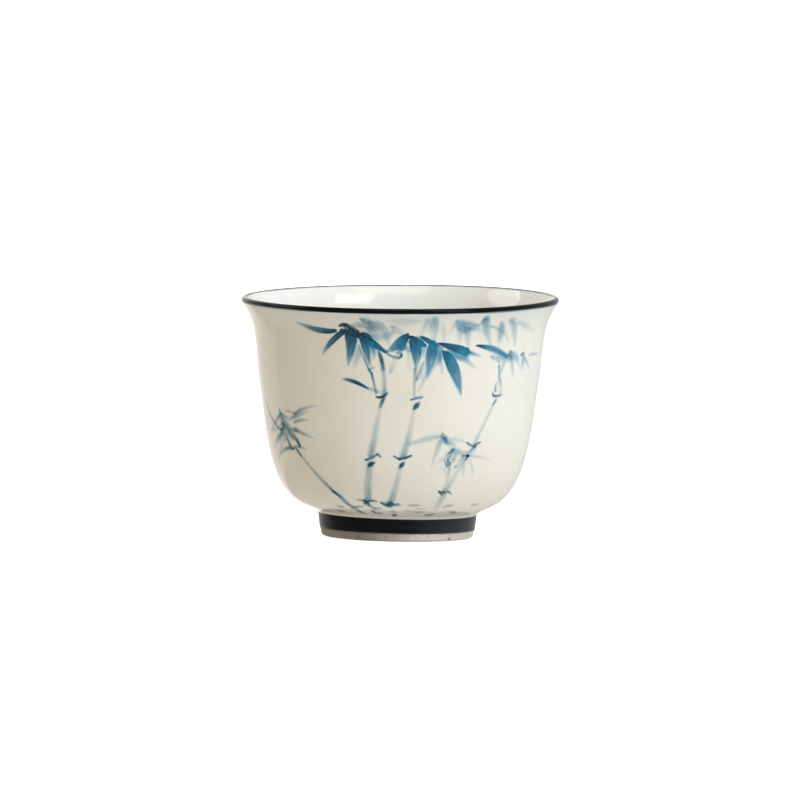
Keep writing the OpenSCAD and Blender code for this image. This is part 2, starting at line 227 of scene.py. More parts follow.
def turned(name, outline, material):
    """A closed mesh swept round the axis from an outline, which is closed or ends on the axis.

    Its materials read the place on the outline from wheel_radius and wheel_height.
    """
    turns = np.arange(SPIN_STEPS) * 2 * math.pi / SPIN_STEPS
    points, rings, wheel_places = [], [], []
    for radius, height in outline:
        if radius < SAME_PLACE:
            rings.append([len(points)] * SPIN_STEPS)
            points.extend(on_cup(radius, turns[:1], np.full(1, height)))
            wheel_places.append((radius, height))
        else:
            rings.append(list(range(len(points), len(points) + SPIN_STEPS)))
            points.extend(on_cup(radius, turns, np.full(SPIN_STEPS, height)))
            wheel_places += [(radius, height)] * SPIN_STEPS
    faces = []
    for here, there in zip(rings, rings[1:] + rings[:1]):
        if here[0] == here[1] and there[0] == there[1]:
            continue
        for i in range(SPIN_STEPS):
            j = (i + 1) % SPIN_STEPS
            face = [here[i], here[j], there[j], there[i]]
            faces.append(tuple(dict.fromkeys(face)))
    area = 0.5 * np.sum(outline[:, 0] * np.roll(outline[:, 1], -1)
                        - np.roll(outline[:, 0], -1) * outline[:, 1])
    if area < 0:
        faces = [tuple(reversed(face)) for face in faces]
    piece = mesh_piece(name, points, faces, material)
    return with_facts(piece, dict(zip(("wheel_radius", "wheel_height"), np.transpose(wheel_places))))


# --- Node helpers ---------------------------------------------------------------------------------

def linear(red, green, blue):
    """An sRGB colour of 0 to 255 as linear red, green, blue and alpha."""
    parts = []
    for value in (red, green, blue):
        share = value / 255
        parts.append(share / 12.92 if share <= 0.04045 else ((share + 0.055) / 1.055) ** 2.4)
    return (*parts, 1.0)


class Nodes:
    """Short ways to build a material's node tree."""

    def __init__(self, name):
        self.material = bpy.data.materials.new(name)
        self.material.use_nodes = True
        self.tree = self.material.node_tree
        self.tree.nodes.clear()
        self.output = self.tree.nodes.new("ShaderNodeOutputMaterial")
        self.object_place = self.tree.nodes.new("ShaderNodeTexCoord").outputs["Object"]

    def link(self, source, socket):
        if isinstance(source, bpy.types.NodeSocket):
            self.tree.links.new(source, socket)
        else:
            socket.default_value = source

    def math(self, operation, a, b=0.0, clamp=False):
        node = self.tree.nodes.new("ShaderNodeMath")
        node.operation = operation
        node.use_clamp = clamp
        self.link(a, node.inputs[0])
        self.link(b, node.inputs[1])
        return node.outputs[0]

    def ramp(self, value, low, high, to_low=0.0, to_high=1.0):
        node = self.tree.nodes.new("ShaderNodeMapRange")
        node.interpolation_type = "SMOOTHSTEP"
        for socket, number in zip(node.inputs, (value, low, high, to_low, to_high)):
            self.link(number, socket)
        return node.outputs[0]

    def mix(self, share, a, b, blend="MIX"):
        node = self.tree.nodes.new("ShaderNodeMix")
        node.data_type = "RGBA"
        node.blend_type = blend
        self.link(share, node.inputs["Factor"])
        self.link(a, node.inputs[6])
        self.link(b, node.inputs[7])
        return node.outputs[2]

    def colours(self, value, stops):
        node = self.tree.nodes.new("ShaderNodeValToRGB")
        elements = node.color_ramp.elements
        while len(elements) < len(stops):
            elements.new(0.5)
        for element, (place, colour) in zip(elements, stops):
            element.position = place
            element.color = colour
        self.link(value, node.inputs[0])
        return node.outputs

    def noise(self, scale, detail=2.0, roughness=0.5, at=None, stretch=(1, 1, 1), shift=(0, 0, 0)):
        mapping = self.tree.nodes.new("ShaderNodeMapping")
        self.link(at or self.object_place, mapping.inputs["Vector"])
        mapping.inputs["Scale"].default_value = stretch
        mapping.inputs["Location"].default_value = shift
        node = self.tree.nodes.new("ShaderNodeTexNoise")
        self.link(mapping.outputs[0], node.inputs["Vector"])
        node.inputs["Scale"].default_value = scale
        node.inputs["Detail"].default_value = detail
        node.inputs["Roughness"].default_value = roughness
        return node.outputs["Fac"]

    def wander(self, amount, *noise, **more):
        """A noise that goes to either side of zero, by about half the amount."""
        return self.math("MULTIPLY", self.math("SUBTRACT", self.noise(*noise, **more), 0.5), amount)

    def specks(self, scale, size, share):
        """1 in small round spots in a given share of the cells of a pattern, and 0 elsewhere."""
        node = self.tree.nodes.new("ShaderNodeTexVoronoi")
        self.link(self.object_place, node.inputs["Vector"])
        node.inputs["Scale"].default_value = scale
        chosen = self.math("LESS_THAN", self.parts(node.outputs["Color"])[0], share)
        spot = self.ramp(node.outputs["Distance"], size, size * 0.5)
        return self.math("MULTIPLY", spot, chosen)

    def parts(self, vector):
        node = self.tree.nodes.new("ShaderNodeSeparateXYZ")
        self.link(vector, node.inputs[0])
        return node.outputs

    def vector(self, x, y, z):
        node = self.tree.nodes.new("ShaderNodeCombineXYZ")
        for value, socket in zip((x, y, z), node.inputs):
            self.link(value, socket)
        return node.outputs[0]

    def attribute(self, name):
        node = self.tree.nodes.new("ShaderNodeAttribute")
        node.attribute_name = name
        return node.outputs["Fac"]

    def bump(self, height, distance):
        node = self.tree.nodes.new("ShaderNodeBump")
        self.link(height, node.inputs["Height"])
        node.inputs["Distance"].default_value = distance
        node.inputs["Strength"].default_value = 1.0
        return node.outputs[0]

    def surface(self, colour, roughness, **sockets):
        """The Principled surface, with further sockets given by name."""
        node = self.tree.nodes.new("ShaderNodeBsdfPrincipled")
        self.link(colour, node.inputs["Base Color"])
        self.link(roughness, node.inputs["Roughness"])
        for name, value in sockets.items():
            self.link(value, node.inputs[name.replace("_", " ")])
        return node.outputs[0]

    def done(self, shader):
        self.link(shader, self.output.inputs["Surface"])
        return self.material


# --- Materials ------------------------------------------------------------------------------------

GLAZE_ROUGHNESS = 0.10
GLAZE_IOR = 1.46
GLAZE_WHITE = linear(240, 239, 232)


def glaze_bump(n, depth=0.05 * MM):
    """The glaze's faint throwing rings and its fine, soft unevenness."""
    rings = n.noise(1.0, 2.0, 0.5, stretch=(14, 14, 420))
    dimples = n.noise(900, 1.0)
    waves = n.noise(130, 2.0)
    height = n.math("ADD", n.math("MULTIPLY", rings, 0.5), n.math("MULTIPLY", dimples, 0.08))
    return n.bump(n.math("ADD", height, n.math("MULTIPLY", waves, 0.3)), depth)


def glaze_material(name, colour, roughness=0.11, height_of_bumps=0.05 * MM, rim_from=None, band_to=None):
    """Warm white glaze with soft clouding, pinholes and iron specks.

    Where they are given, the rim's dark line bleeds a cool grey-blue into it just below the height
    rim_from, and just above the height band_to the glaze greys, partly from the foot's slip and partly as
    painted shade.
    """
    n = Nodes(name)
    cloud = n.noise(45, 3.0, 0.55)
    warm = n.mix(n.ramp(cloud, 0.35, 0.68, 0.0, 0.6), colour, linear(235, 231, 217))
    grain = n.noise(700, 2.0, 0.6)
    tone = n.mix(n.ramp(grain, 0.3, 0.75, 0.0, 0.06), warm, linear(214, 207, 186))
    tone = n.mix(n.math("MULTIPLY", n.specks(160, 0.07, 0.03), 0.4), tone, linear(140, 122, 100))
    height = n.attribute("wheel_height")
    uneven = n.wander(0.5 * MM, 90, 3.0, 0.6)
    if band_to is not None:
        # Painted shade, with some slip bled into the glaze: the glaze greys just above the band.
        above = n.math("SUBTRACT", n.math("ADD", height, uneven), band_to)
        tone = n.mix(n.ramp(above, 2.6 * MM, 0.0, 0.0, 0.32), tone, linear(146, 142, 132))
    if rim_from is not None:
        below = n.math("SUBTRACT", rim_from, n.math("ADD", height, uneven))
        tone = n.mix(n.ramp(below, 2.2 * MM, -0.2 * MM, 0.0, 0.45), tone, linear(207, 228, 240))
        tone = n.mix(n.ramp(below, 0.22 * MM, -0.05 * MM, 0.0, 0.8), tone, linear(92, 110, 120))
    shader = n.surface(tone, n.ramp(cloud, 0.3, 0.7, roughness - 0.02, roughness + 0.03),
                       Normal=glaze_bump(n, height_of_bumps))
    set_gloss(n)
    return n.done(shader)


def set_gloss(n, ior=GLAZE_IOR):
    """Sets the gloss that is the same all over a glazed surface."""
    for node in n.tree.nodes:
        if node.type == "BSDF_PRINCIPLED":
            node.inputs["IOR"].default_value = ior


def rim_material(crest_radius, lip_bottom):
    """The blue-black line over the lip. Inside the crest the glaze has drawn it thin and pale.

    Its lower edge fades a little higher towards both sides of the cup.
    """
    n = Nodes("dark_rim_line")
    x = n.parts(n.object_place)[0]
    radius, height = n.attribute("wheel_radius"), n.attribute("wheel_height")
    patch = n.noise(420, 3.0, 0.6)
    # Painted reflection: the line is made lighter on its lower, outer part and darkest at the crest.
    low = n.ramp(height, lip_bottom + 0.8 * MM, lip_bottom)
    dark = n.mix(low, linear(1, 2, 3), linear(10, 16, 20))
    dark = n.mix(n.ramp(patch, 0.4, 0.75, 0.0, 0.6), dark, linear(9, 13, 16))
    uneven = n.wander(0.25 * MM, 140, 3.0, 0.6)
    outside = n.math("SUBTRACT", n.math("ADD", radius, uneven), crest_radius)
    thin = n.mix(n.ramp(outside, -0.74 * MM, -0.42 * MM), GLAZE_WHITE, linear(96, 110, 124))
    colour = n.mix(n.ramp(outside, -0.4 * MM, 0.0), thin, dark)
    narrower = n.math("ADD", n.ramp(x, 8 * MM, 30 * MM, 0.0, 0.22 * MM),
                      n.ramp(x, -14 * MM, -28 * MM, 0.0, 0.3 * MM))
    faded = n.math("SUBTRACT", n.math("ADD", height, uneven), narrower)
    faded = n.math("SUBTRACT", faded, lip_bottom)
    colour = n.mix(n.ramp(faded, 0.05 * MM, -0.07 * MM, 0.0, 0.85), colour, linear(126, 140, 148))
    shader = n.surface(colour, n.ramp(patch, 0.3, 0.7, 0.05, 0.09), Normal=glaze_bump(n))
    set_gloss(n, 1.18)
    return n.done(shader)


def foot_band_material(bottom, top):
    """Near-black navy slip, brushed round the foot, thinner at its edges, with a painted reflection making it
    paler to the right.
    """
    n = Nodes("dark_foot_slip")
    height = n.attribute("wheel_height")
    x = n.parts(n.object_place)[0]
    brushed = n.noise(60, 3.0, 0.6, stretch=(1, 1, 16))
    colour = n.mix(n.ramp(brushed, 0.3, 0.72), linear(5, 6, 10), linear(19, 22, 31))
    # Painted reflection: the slip is made paler and greyer towards the right side.
    colour = n.mix(n.ramp(x, 0.0, 18 * MM, 0.0, 0.6), colour, linear(62, 66, 76))
    uneven = n.wander(0.5 * MM, 160, 3.0, 0.65)
    above = n.math("ADD", n.math("SUBTRACT", height, bottom), uneven)
    colour = n.mix(n.ramp(above, 0.24 * MM, 0.04 * MM), colour, linear(104, 94, 88))
    below = n.math("SUBTRACT", top, n.math("ADD", height, uneven))
    colour = n.mix(n.ramp(below, 0.25 * MM, 0.0, 0.0, 0.35), colour, linear(84, 102, 124))
    shader = n.surface(colour, n.ramp(brushed, 0.3, 0.7, 0.22, 0.34), Normal=glaze_bump(n))
    set_gloss(n, 1.2)
    return n.done(shader)


def clay_material(slip_from):
    """Bare fired clay: matt, pinkish grey, gritty, stained near the slip, with painted shade on its left
    side.
    """
    n = Nodes("bare_fired_clay")
    height = n.attribute("wheel_height")
    cloud = n.noise(90, 4.0, 0.6)
    colour = n.mix(n.ramp(cloud, 0.3, 0.7), linear(228, 220, 216), linear(206, 198, 192))
    grain = n.noise(1500, 3.0, 0.7)
    colour = n.mix(n.ramp(grain, 0.35, 0.7, 0.0, 0.25), colour, linear(150, 138, 128))
    colour = n.mix(n.math("MULTIPLY", n.specks(420, 0.22, 0.1), 0.7), colour, linear(112, 84, 62))
    colour = n.mix(n.math("MULTIPLY", n.specks(170, 0.16, 0.06), 0.8), colour, linear(92, 66, 44))
    worn = n.ramp(n.math("ADD", height, n.math("MULTIPLY", cloud, 0.5 * MM)), 0.75 * MM, 0.3 * MM)
    colour = n.mix(n.math("MULTIPLY", worn, 0.45), colour, linear(158, 146, 134))
    uneven = n.wander(1.0 * MM, 300, 3.0, 0.65, shift=(2, 5, 1))
    slip = n.ramp(n.math("ADD", height, uneven), slip_from - 0.14 * MM, slip_from + 0.14 * MM)
    colour = n.mix(n.math("MULTIPLY", slip, 0.75), colour, linear(78, 74, 78))
    # Painted shade: the clay is made darker towards its left side.
    painted_left_shade = n.ramp(n.parts(n.object_place)[0], 8 * MM, -9 * MM, 0.0, 0.85)
    colour = n.mix(painted_left_shade, colour, linear(146, 139, 131), "MULTIPLY")
    grit = n.bump(n.math("ADD", grain, n.noise(500, 2.0)), 0.03 * MM)
    return n.done(n.surface(colour, 0.82, Normal=grit))


def thin_coat(stops):
    """Ramp stops for a pigment that filters the glaze under it.

    Each stop gives a density and the colour that the glaze shows through that much pigment. The pigment
    lets least red through, so its alpha is what it takes from the red, and its own colour has no red.
    """
    bare = stops[0][1]
    rows = []
    for density, seen in stops[1:]:
        left = [s / b for s, b in zip(seen[:3], bare)]
        alpha = 1 - left[0]
        own = [white * (share - left[0]) / alpha for white, share in zip(GLAZE_WHITE, left)]
        rows.append((density, (*own, alpha)))
    thinnest = rows[0][1]
    return [(0.0, (*thinnest[:3], 0.0))] + rows


def pigment_material(name, stops, left_stops=None):
    """Cobalt brushed on in one thin coat: denser where the brush rested, streaked along the stroke.

    Where left_stops is given, the pigment goes over to those colours towards the cup's left side.
    The piece gives, in millimetres, inset, the distance inside the stroke's outline, half, half its width
    there, and along and across, the place on it. Its tone is how much pigment the brush left, and its seed
    differs from stroke to stroke.
    """
    n = Nodes(name)
    inset, along, across = n.attribute("inset"), n.attribute("along"), n.attribute("across")
    tone, seed = n.attribute("tone"), n.attribute("seed")
    offset = n.math("MULTIPLY", seed, 37.0)
    brush_place = n.vector(n.math("ADD", n.math("MULTIPLY", along, 0.32), offset),
                           n.math("MULTIPLY", across, 2.2), offset)
    streak = n.noise(1.0, 3.0, 0.55, at=brush_place)
    cloud = n.noise(330, 2.0, 0.5)
    ragged = n.wander(0.16, 1300, 2.0, 0.6)
    soft = n.math("MINIMUM", n.ramp(tone, 0.12, 0.7, 0.64, 0.20),
                  n.math("ADD", n.math("MULTIPLY", n.attribute("half"), 0.8), 0.18))
    edge = n.math("DIVIDE", n.math("ADD", inset, ragged), soft)
    inside = n.ramp(edge, -1.0, 1.0)
    pooled = n.math("MULTIPLY", n.ramp(n.math("DIVIDE", inset, soft), 2.6, 1.0), 0.10)
    uneven = n.math("ADD", n.ramp(streak, 0.3, 0.7, -0.19, 0.16), n.ramp(cloud, 0.3, 0.7, -0.14, 0.12))
    load = n.math("MULTIPLY", tone, n.math("ADD", n.math("ADD", 1.0, uneven), pooled))
    density = n.math("MULTIPLY", load, inside, clamp=True)
    colour, alpha = n.colours(density, thin_coat(stops))
    if left_stops is not None:
        share = n.ramp(n.parts(n.object_place)[0], -4 * MM, -18 * MM)
        left_colour, left_alpha = n.colours(density, thin_coat(left_stops))
        colour = n.mix(share, colour, left_colour)
        more = n.math("MULTIPLY", share, n.math("SUBTRACT", left_alpha, alpha))
        alpha = n.math("ADD", alpha, more)
    paint = n.surface(colour, GLAZE_ROUGHNESS, Normal=glaze_bump(n))
    set_gloss(n)
    clear = n.tree.nodes.new("ShaderNodeBsdfTransparent").outputs[0]
    mixed = n.tree.nodes.new("ShaderNodeMixShader")
    for source, socket in zip((alpha, clear, paint), mixed.inputs):
        n.link(source, socket)
    return n.done(mixed.outputs[0])


BARE_GLAZE = linear(224, 221, 207)
COBALT = [
    (0.0, BARE_GLAZE),
    (0.12, linear(203, 213, 210)),
    (0.25, linear(179, 198, 200)),
    (0.42, linear(134, 167, 178)),
    (0.58, linear(94, 136, 155)),
    (0.72, linear(57, 102, 128)),
    (0.86, linear(20, 64, 97)),
    (1.0, linear(1, 33, 62)),
]
GREY_COBALT = [
    (0.0, BARE_GLAZE),
    (0.12, linear(205, 211, 205)),
    (0.25, linear(181, 194, 192)),
    (0.42, linear(142, 164, 169)),
    (0.58, linear(101, 129, 139)),
    (0.72, linear(68, 92, 104)),
    (0.86, linear(27, 59, 82)),
    (1.0, linear(3, 26, 48)),
]


# --- Brush strokes --------------------------------------------------------------------------------
#
# A stroke is three places on the wall, its widths there and how much pigment it has there:
# angle, height, angle, height, angle, height, width, width, width, tone, tone, tone.
# Angles are degrees from the front, heights and widths millimetres. The strokes that the CAD model has
# lie close to its own, and there are more of them where a real brush leaves several.

STALKS = [
    (-15.2, 10.5, -14, 14.6, -12.7, 18.9, 1.7, 1.6, 1.4, 0.25, 0.16, 0.18),
    (-12.1, 20.9, -10, 26, -7.8, 32.5, 1.4, 1.3, 0.7, 0.28, 0.15, 0.09),
    (-3.4, 9.9, -0.8, 14.1, 1, 18.6, 1.4, 1.2, 0.9, 0.25, 0.13, 0.1),
    (2.1, 21, 4.6, 26, 6.3, 31.8, 1.4, 1.2, 0.8, 0.26, 0.14, 0.08),
    (22, 8.9, 22.7, 10.1, 23.6, 11.5, 1.6, 1.3, 1.1, 0.09, 0.12, 0.21),
    (24.5, 13, 27.4, 16.4, 31.2, 20.2, 1, 1.1, 0.9, 0.17, 0.11, 0.1),
    (35.2, 23.9, 38.6, 27.7, 42.9, 32.4, 0.7, 0.8, 0.8, 0.17, 0.12, 0.14),
]

JOINT_MARKS = [
    (-17.8, 10.2, -16.6, 9.8, -15.4, 9.2, 0.4, 0.7, 0.5, 0.59, 0.7, 0.5),
    (-16.4, 9.9, -13.6, 10.1, -11, 10, 0.3, 0.35, 0.3, 0.5, 0.56, 0.45),
    (-15.4, 7.6, -14.6, 7.3, -13.8, 7.1, 0.3, 0.6, 0.3, 0.31, 0.47, 0.31),
    (-13.2, 18.5, -12, 19, -10.5, 19.3, 0.6, 1, 0.4, 0.63, 0.72, 0.5),
    (-14.6, 19.9, -11.7, 20.4, -9.1, 21.3, 0.4, 0.4, 0.35, 0.59, 0.45, 0.54),
    (-9.4, 21.3, -8.6, 21.2, -7.8, 20.7, 0.35, 0.4, 0.3, 0.54, 0.59, 0.5),
    (-7.6, 32.5, -6.5, 34.1, -5.5, 35.4, 0.6, 0.8, 0.4, 0.42, 0.51, 0.32),
    (-9.2, 34.8, -6.8, 34.8, -4.8, 35.8, 0.4, 0.6, 0.5, 0.63, 0.77, 0.5),
    (-8.5, 9.7, -6.7, 9.2, -4.1, 9, 0.4, 0.6, 0.8, 0.5, 0.55, 0.48),
    (-4.5, 9.1, -2.1, 9.2, 0.3, 9.4, 0.7, 0.5, 0.35, 0.39, 0.41, 0.36),
    (0.9, 18.3, 1.8, 18.9, 2.8, 19.4, 0.5, 0.9, 0.4, 0.5, 0.61, 0.38),
    (-1.8, 20.9, -0.4, 20.5, 0.8, 20.2, 0.3, 0.35, 0.5, 0.54, 0.56, 0.63),
    (0.6, 20.3, 3.2, 20.6, 5.8, 21.1, 0.5, 0.6, 0.4, 0.65, 0.56, 0.58),
    (6.4, 32.1, 7.4, 32.8, 8.4, 33.4, 0.6, 1.15, 0.6, 0.46, 0.56, 0.44),
    (5, 34.2, 7.2, 34.6, 9.6, 34.8, 0.3, 0.5, 0.45, 0.54, 0.41, 0.38),
    (20.4, 12.5, 21.6, 12.2, 22.8, 11.6, 0.35, 0.55, 0.3, 0.54, 0.59, 0.36),
    (23.6, 12.1, 25.6, 12.4, 27.4, 11.8, 0.3, 0.4, 0.3, 0.38, 0.4, 0.38),
    (32.8, 21.5, 34, 22.3, 35.4, 23.1, 0.3, 0.5, 0.4, 0.1, 0.32, 0.5),
    (31.2, 24, 33.6, 23.3, 35.4, 23.4, 0.35, 0.45, 0.35, 0.54, 0.45, 0.38),
    (35.2, 23.3, 36.8, 23.7, 38.2, 23.9, 0.35, 0.45, 0.3, 0.38, 0.47, 0.45),
    (43.1, 32.8, 43.9, 33.3, 44.7, 33.9, 0.4, 0.6, 0.4, 0.32, 0.36, 0.3),
    (42.2, 35.4, 43.5, 34.7, 47.2, 34.9, 0.35, 0.5, 0.4, 0.41, 0.56, 0.36),
    (-33.8, 12.2, -32.4, 11.6, -31, 11, 0.4, 0.8, 0.5, 0.54, 0.68, 0.45),
]

TWIGS = [
    (-8.2, 45.5, -7.2, 43.8, -6.4, 41.3, 0.4, 0.9, 0.7, 0.5, 0.62, 0.3),
    (-6.4, 41.5, -5.9, 38.5, -6.2, 35.3, 0.7, 0.8, 0.9, 0.24, 0.18, 0.34),
    (-9.3, 35.6, -10.2, 38.1, -11.2, 40.5, 0.35, 0.35, 0.5, 0.55, 0.4, 0.55),
    (6.4, 35.1, 6.3, 38, 6.5, 41.5, 0.5, 0.5, 0.6, 0.16, 0.2, 0.34),
    (7.1, 38.9, 8.1, 40.7, 9.8, 43.1, 0.35, 0.5, 0.3, 0.45, 0.3, 0.25),
    (43.6, 35.9, 43.4, 36.9, 43.6, 37.7, 0.5, 0.5, 0.4, 0.35, 0.28, 0.2),
    (45.8, 37.5, 44.8, 39.7, 44.4, 41.7, 0.9, 0.5, 0.5, 0.12, 0.26, 0.34),
    (-22.4, 7, -26.4, 8.5, -30.6, 10.9, 0.35, 0.6, 0.8, 0.42, 0.34, 0.36),
    (-33.8, 12.1, -40.8, 15.9, -48.4, 19.9, 0.8, 0.7, 0.5, 0.4, 0.24, 0.16),
    (-48.6, 19.9, -50, 20.7, -51.6, 21.6, 0.4, 0.5, 0.3, 0.26, 0.36, 0.26),
    (23, 13.2, 23.8, 16.2, 23.7, 18.6, 0.9, 0.7, 0.6, 0.14, 0.12, 0.3),
    (46.6, 35.4, 46.4, 36.9, 45.8, 38.5, 0.8, 0.7, 0.5, 0.12, 0.1, 0.08),
    (8.7, 39.3, 9.1, 40.5, 9.7, 41.8, 0.4, 0.35, 0.3, 0.12, 0.16, 0.12),
]

DARK_LEAVES = [
    (-23, 50.4, -19.6, 49.9, -15.7, 49.1, 0.54, 1.3, 1.3, 0.96, 1.01, 0.86),
    (-25.5, 50.2, -33.2, 50.2, -43.2, 51.8, 0.76, 1.3, 0.12, 0.92, 0.5, 0.31),
    (-21.7, 50.1, -27.2, 47.7, -32.2, 44.3, 0.97, 1.3, 0.1, 0.92, 0.63, 0.25),
    (-19.2, 49.3, -19.5, 46.3, -21, 41.8, 2.92, 2.27, 0.1, 0.77, 0.52, 0.25),
    (-18.4, 50.1, -11.4, 47.7, -5.2, 45.4, 0.76, 1.62, 0.3, 1.01, 0.96, 0.6),
    (-11.8, 47.8, -9.8, 47, -8.2, 46.3, 0.54, 1.19, 0.65, 0.29, 0.48, 0.38),
    (-14.4, 48.5, -13, 45.5, -12.2, 42.1, 1.61, 1.61, 0.14, 0.73, 0.51, 0.27),
    (-16.5, 46.8, -14.2, 43.9, -12, 40.9, 0.2, 0.3, 0.3, 0.19, 0.44, 0.63),
    (-6.8, 45.7, -5.4, 45.4, -4.8, 45.6, 0.3, 0.65, 0.3, 0.67, 0.77, 0.58),
    (3.2, 49.8, 0.6, 47.8, -4.6, 45.6, 0.43, 2.38, 0.3, 0.88, 0.67, 0.33),
    (1.8, 47.7, 0.8, 46.5, -0.4, 45.9, 0.97, 1.62, 0.65, 0.48, 0.54, 0.33),
    (3.5, 49.3, 6.8, 48.1, 10.2, 47, 0.3, 1.62, 0.65, 1.01, 0.88, 0.77),
    (5.5, 47.8, 6.7, 45.6, 6.7, 41.4, 2.05, 2.59, 0.12, 0.75, 0.56, 0.23),
    (8.2, 49.2, 11.2, 48.2, 14.4, 47.1, 0.25, 1.08, 0.65, 0.94, 0.73, 0.54),
    (15.8, 47.5, 22.2, 46.4, 27.4, 45.4, 0.43, 1.73, 2.05, 0.86, 0.73, 0.58),
    (17.8, 45.5, 22.2, 41.7, 26.5, 35.2, 0.72, 2.73, 0.13, 0.89, 0.54, 0.31),
    (-24.2, 38.7, -18.7, 38.3, -12.4, 36.6, 0.12, 0.86, 0.2, 0.05, 0.71, 0.81),
    (-20.8, 51.6, -16.8, 49.9, -12.2, 48.7, 0.25, 0.81, 0.54, 1.06, 1.06, 0.96),
    (-23.4, 51.4, -21.2, 51.7, -18.6, 51.3, 0.5, 0.9, 0.5, 0.5, 0.74, 0.5),
]

MIDDLE_LEAVES = [
    (13.1, 47.5, 12.8, 44.1, 11.3, 39, 1.62, 2.59, 0.12, 0.61, 0.44, 0.14),
    (28.2, 45.3, 31.2, 44.8, 35.7, 44.1, 1.08, 0.65, 0.12, 0.44, 0.33, 0.06),
    (32.1, 46.8, 40.2, 45.8, 47.8, 44, 0.3, 1.4, 0.97, 0.94, 0.42, 0.56),
    (36.2, 46.4, 40.7, 46, 45.2, 44.5, 0.2, 0.43, 0.2, 0.1, 0.38, 0.1),
    (47.7, 43.9, 49.7, 43.5, 51.2, 43, 0.54, 0.43, 0.3, 0.43, 0.29, 0.35),
    (49.6, 45.1, 50.6, 44.9, 51.4, 44.5, 0.3, 0.54, 0.3, 0.19, 0.38, 0.19),
    (21.8, 52.8, 26.2, 52.2, 31.7, 51.6, 0.54, 1.3, 0.3, 0.29, 0.21, 0.23),
    (22.5, 51.7, 25.2, 51.1, 29.2, 50.6, 0.97, 1.94, 0.86, 0.23, 0.21, 0.12),
    (25.4, 50.2, 26.2, 50.3, 27.1, 50.4, 0.54, 0.86, 0.43, 0.12, 0.19, 0.12),
    (31.5, 51.8, 32.7, 52.5, 33.6, 53.1, 0.2, 0.43, 0.54, 0.13, 0.29, 0.35),
    (57.5, 43.6, 59.2, 44.2, 60.8, 43.9, 0.25, 0.49, 0.25, 0.38, 0.48, 0.25),
    (-14.6, 53.3, -11.6, 52.3, -8.2, 50.9, 0.43, 1.84, 0.97, 0.38, 0.21, 0.13),
]

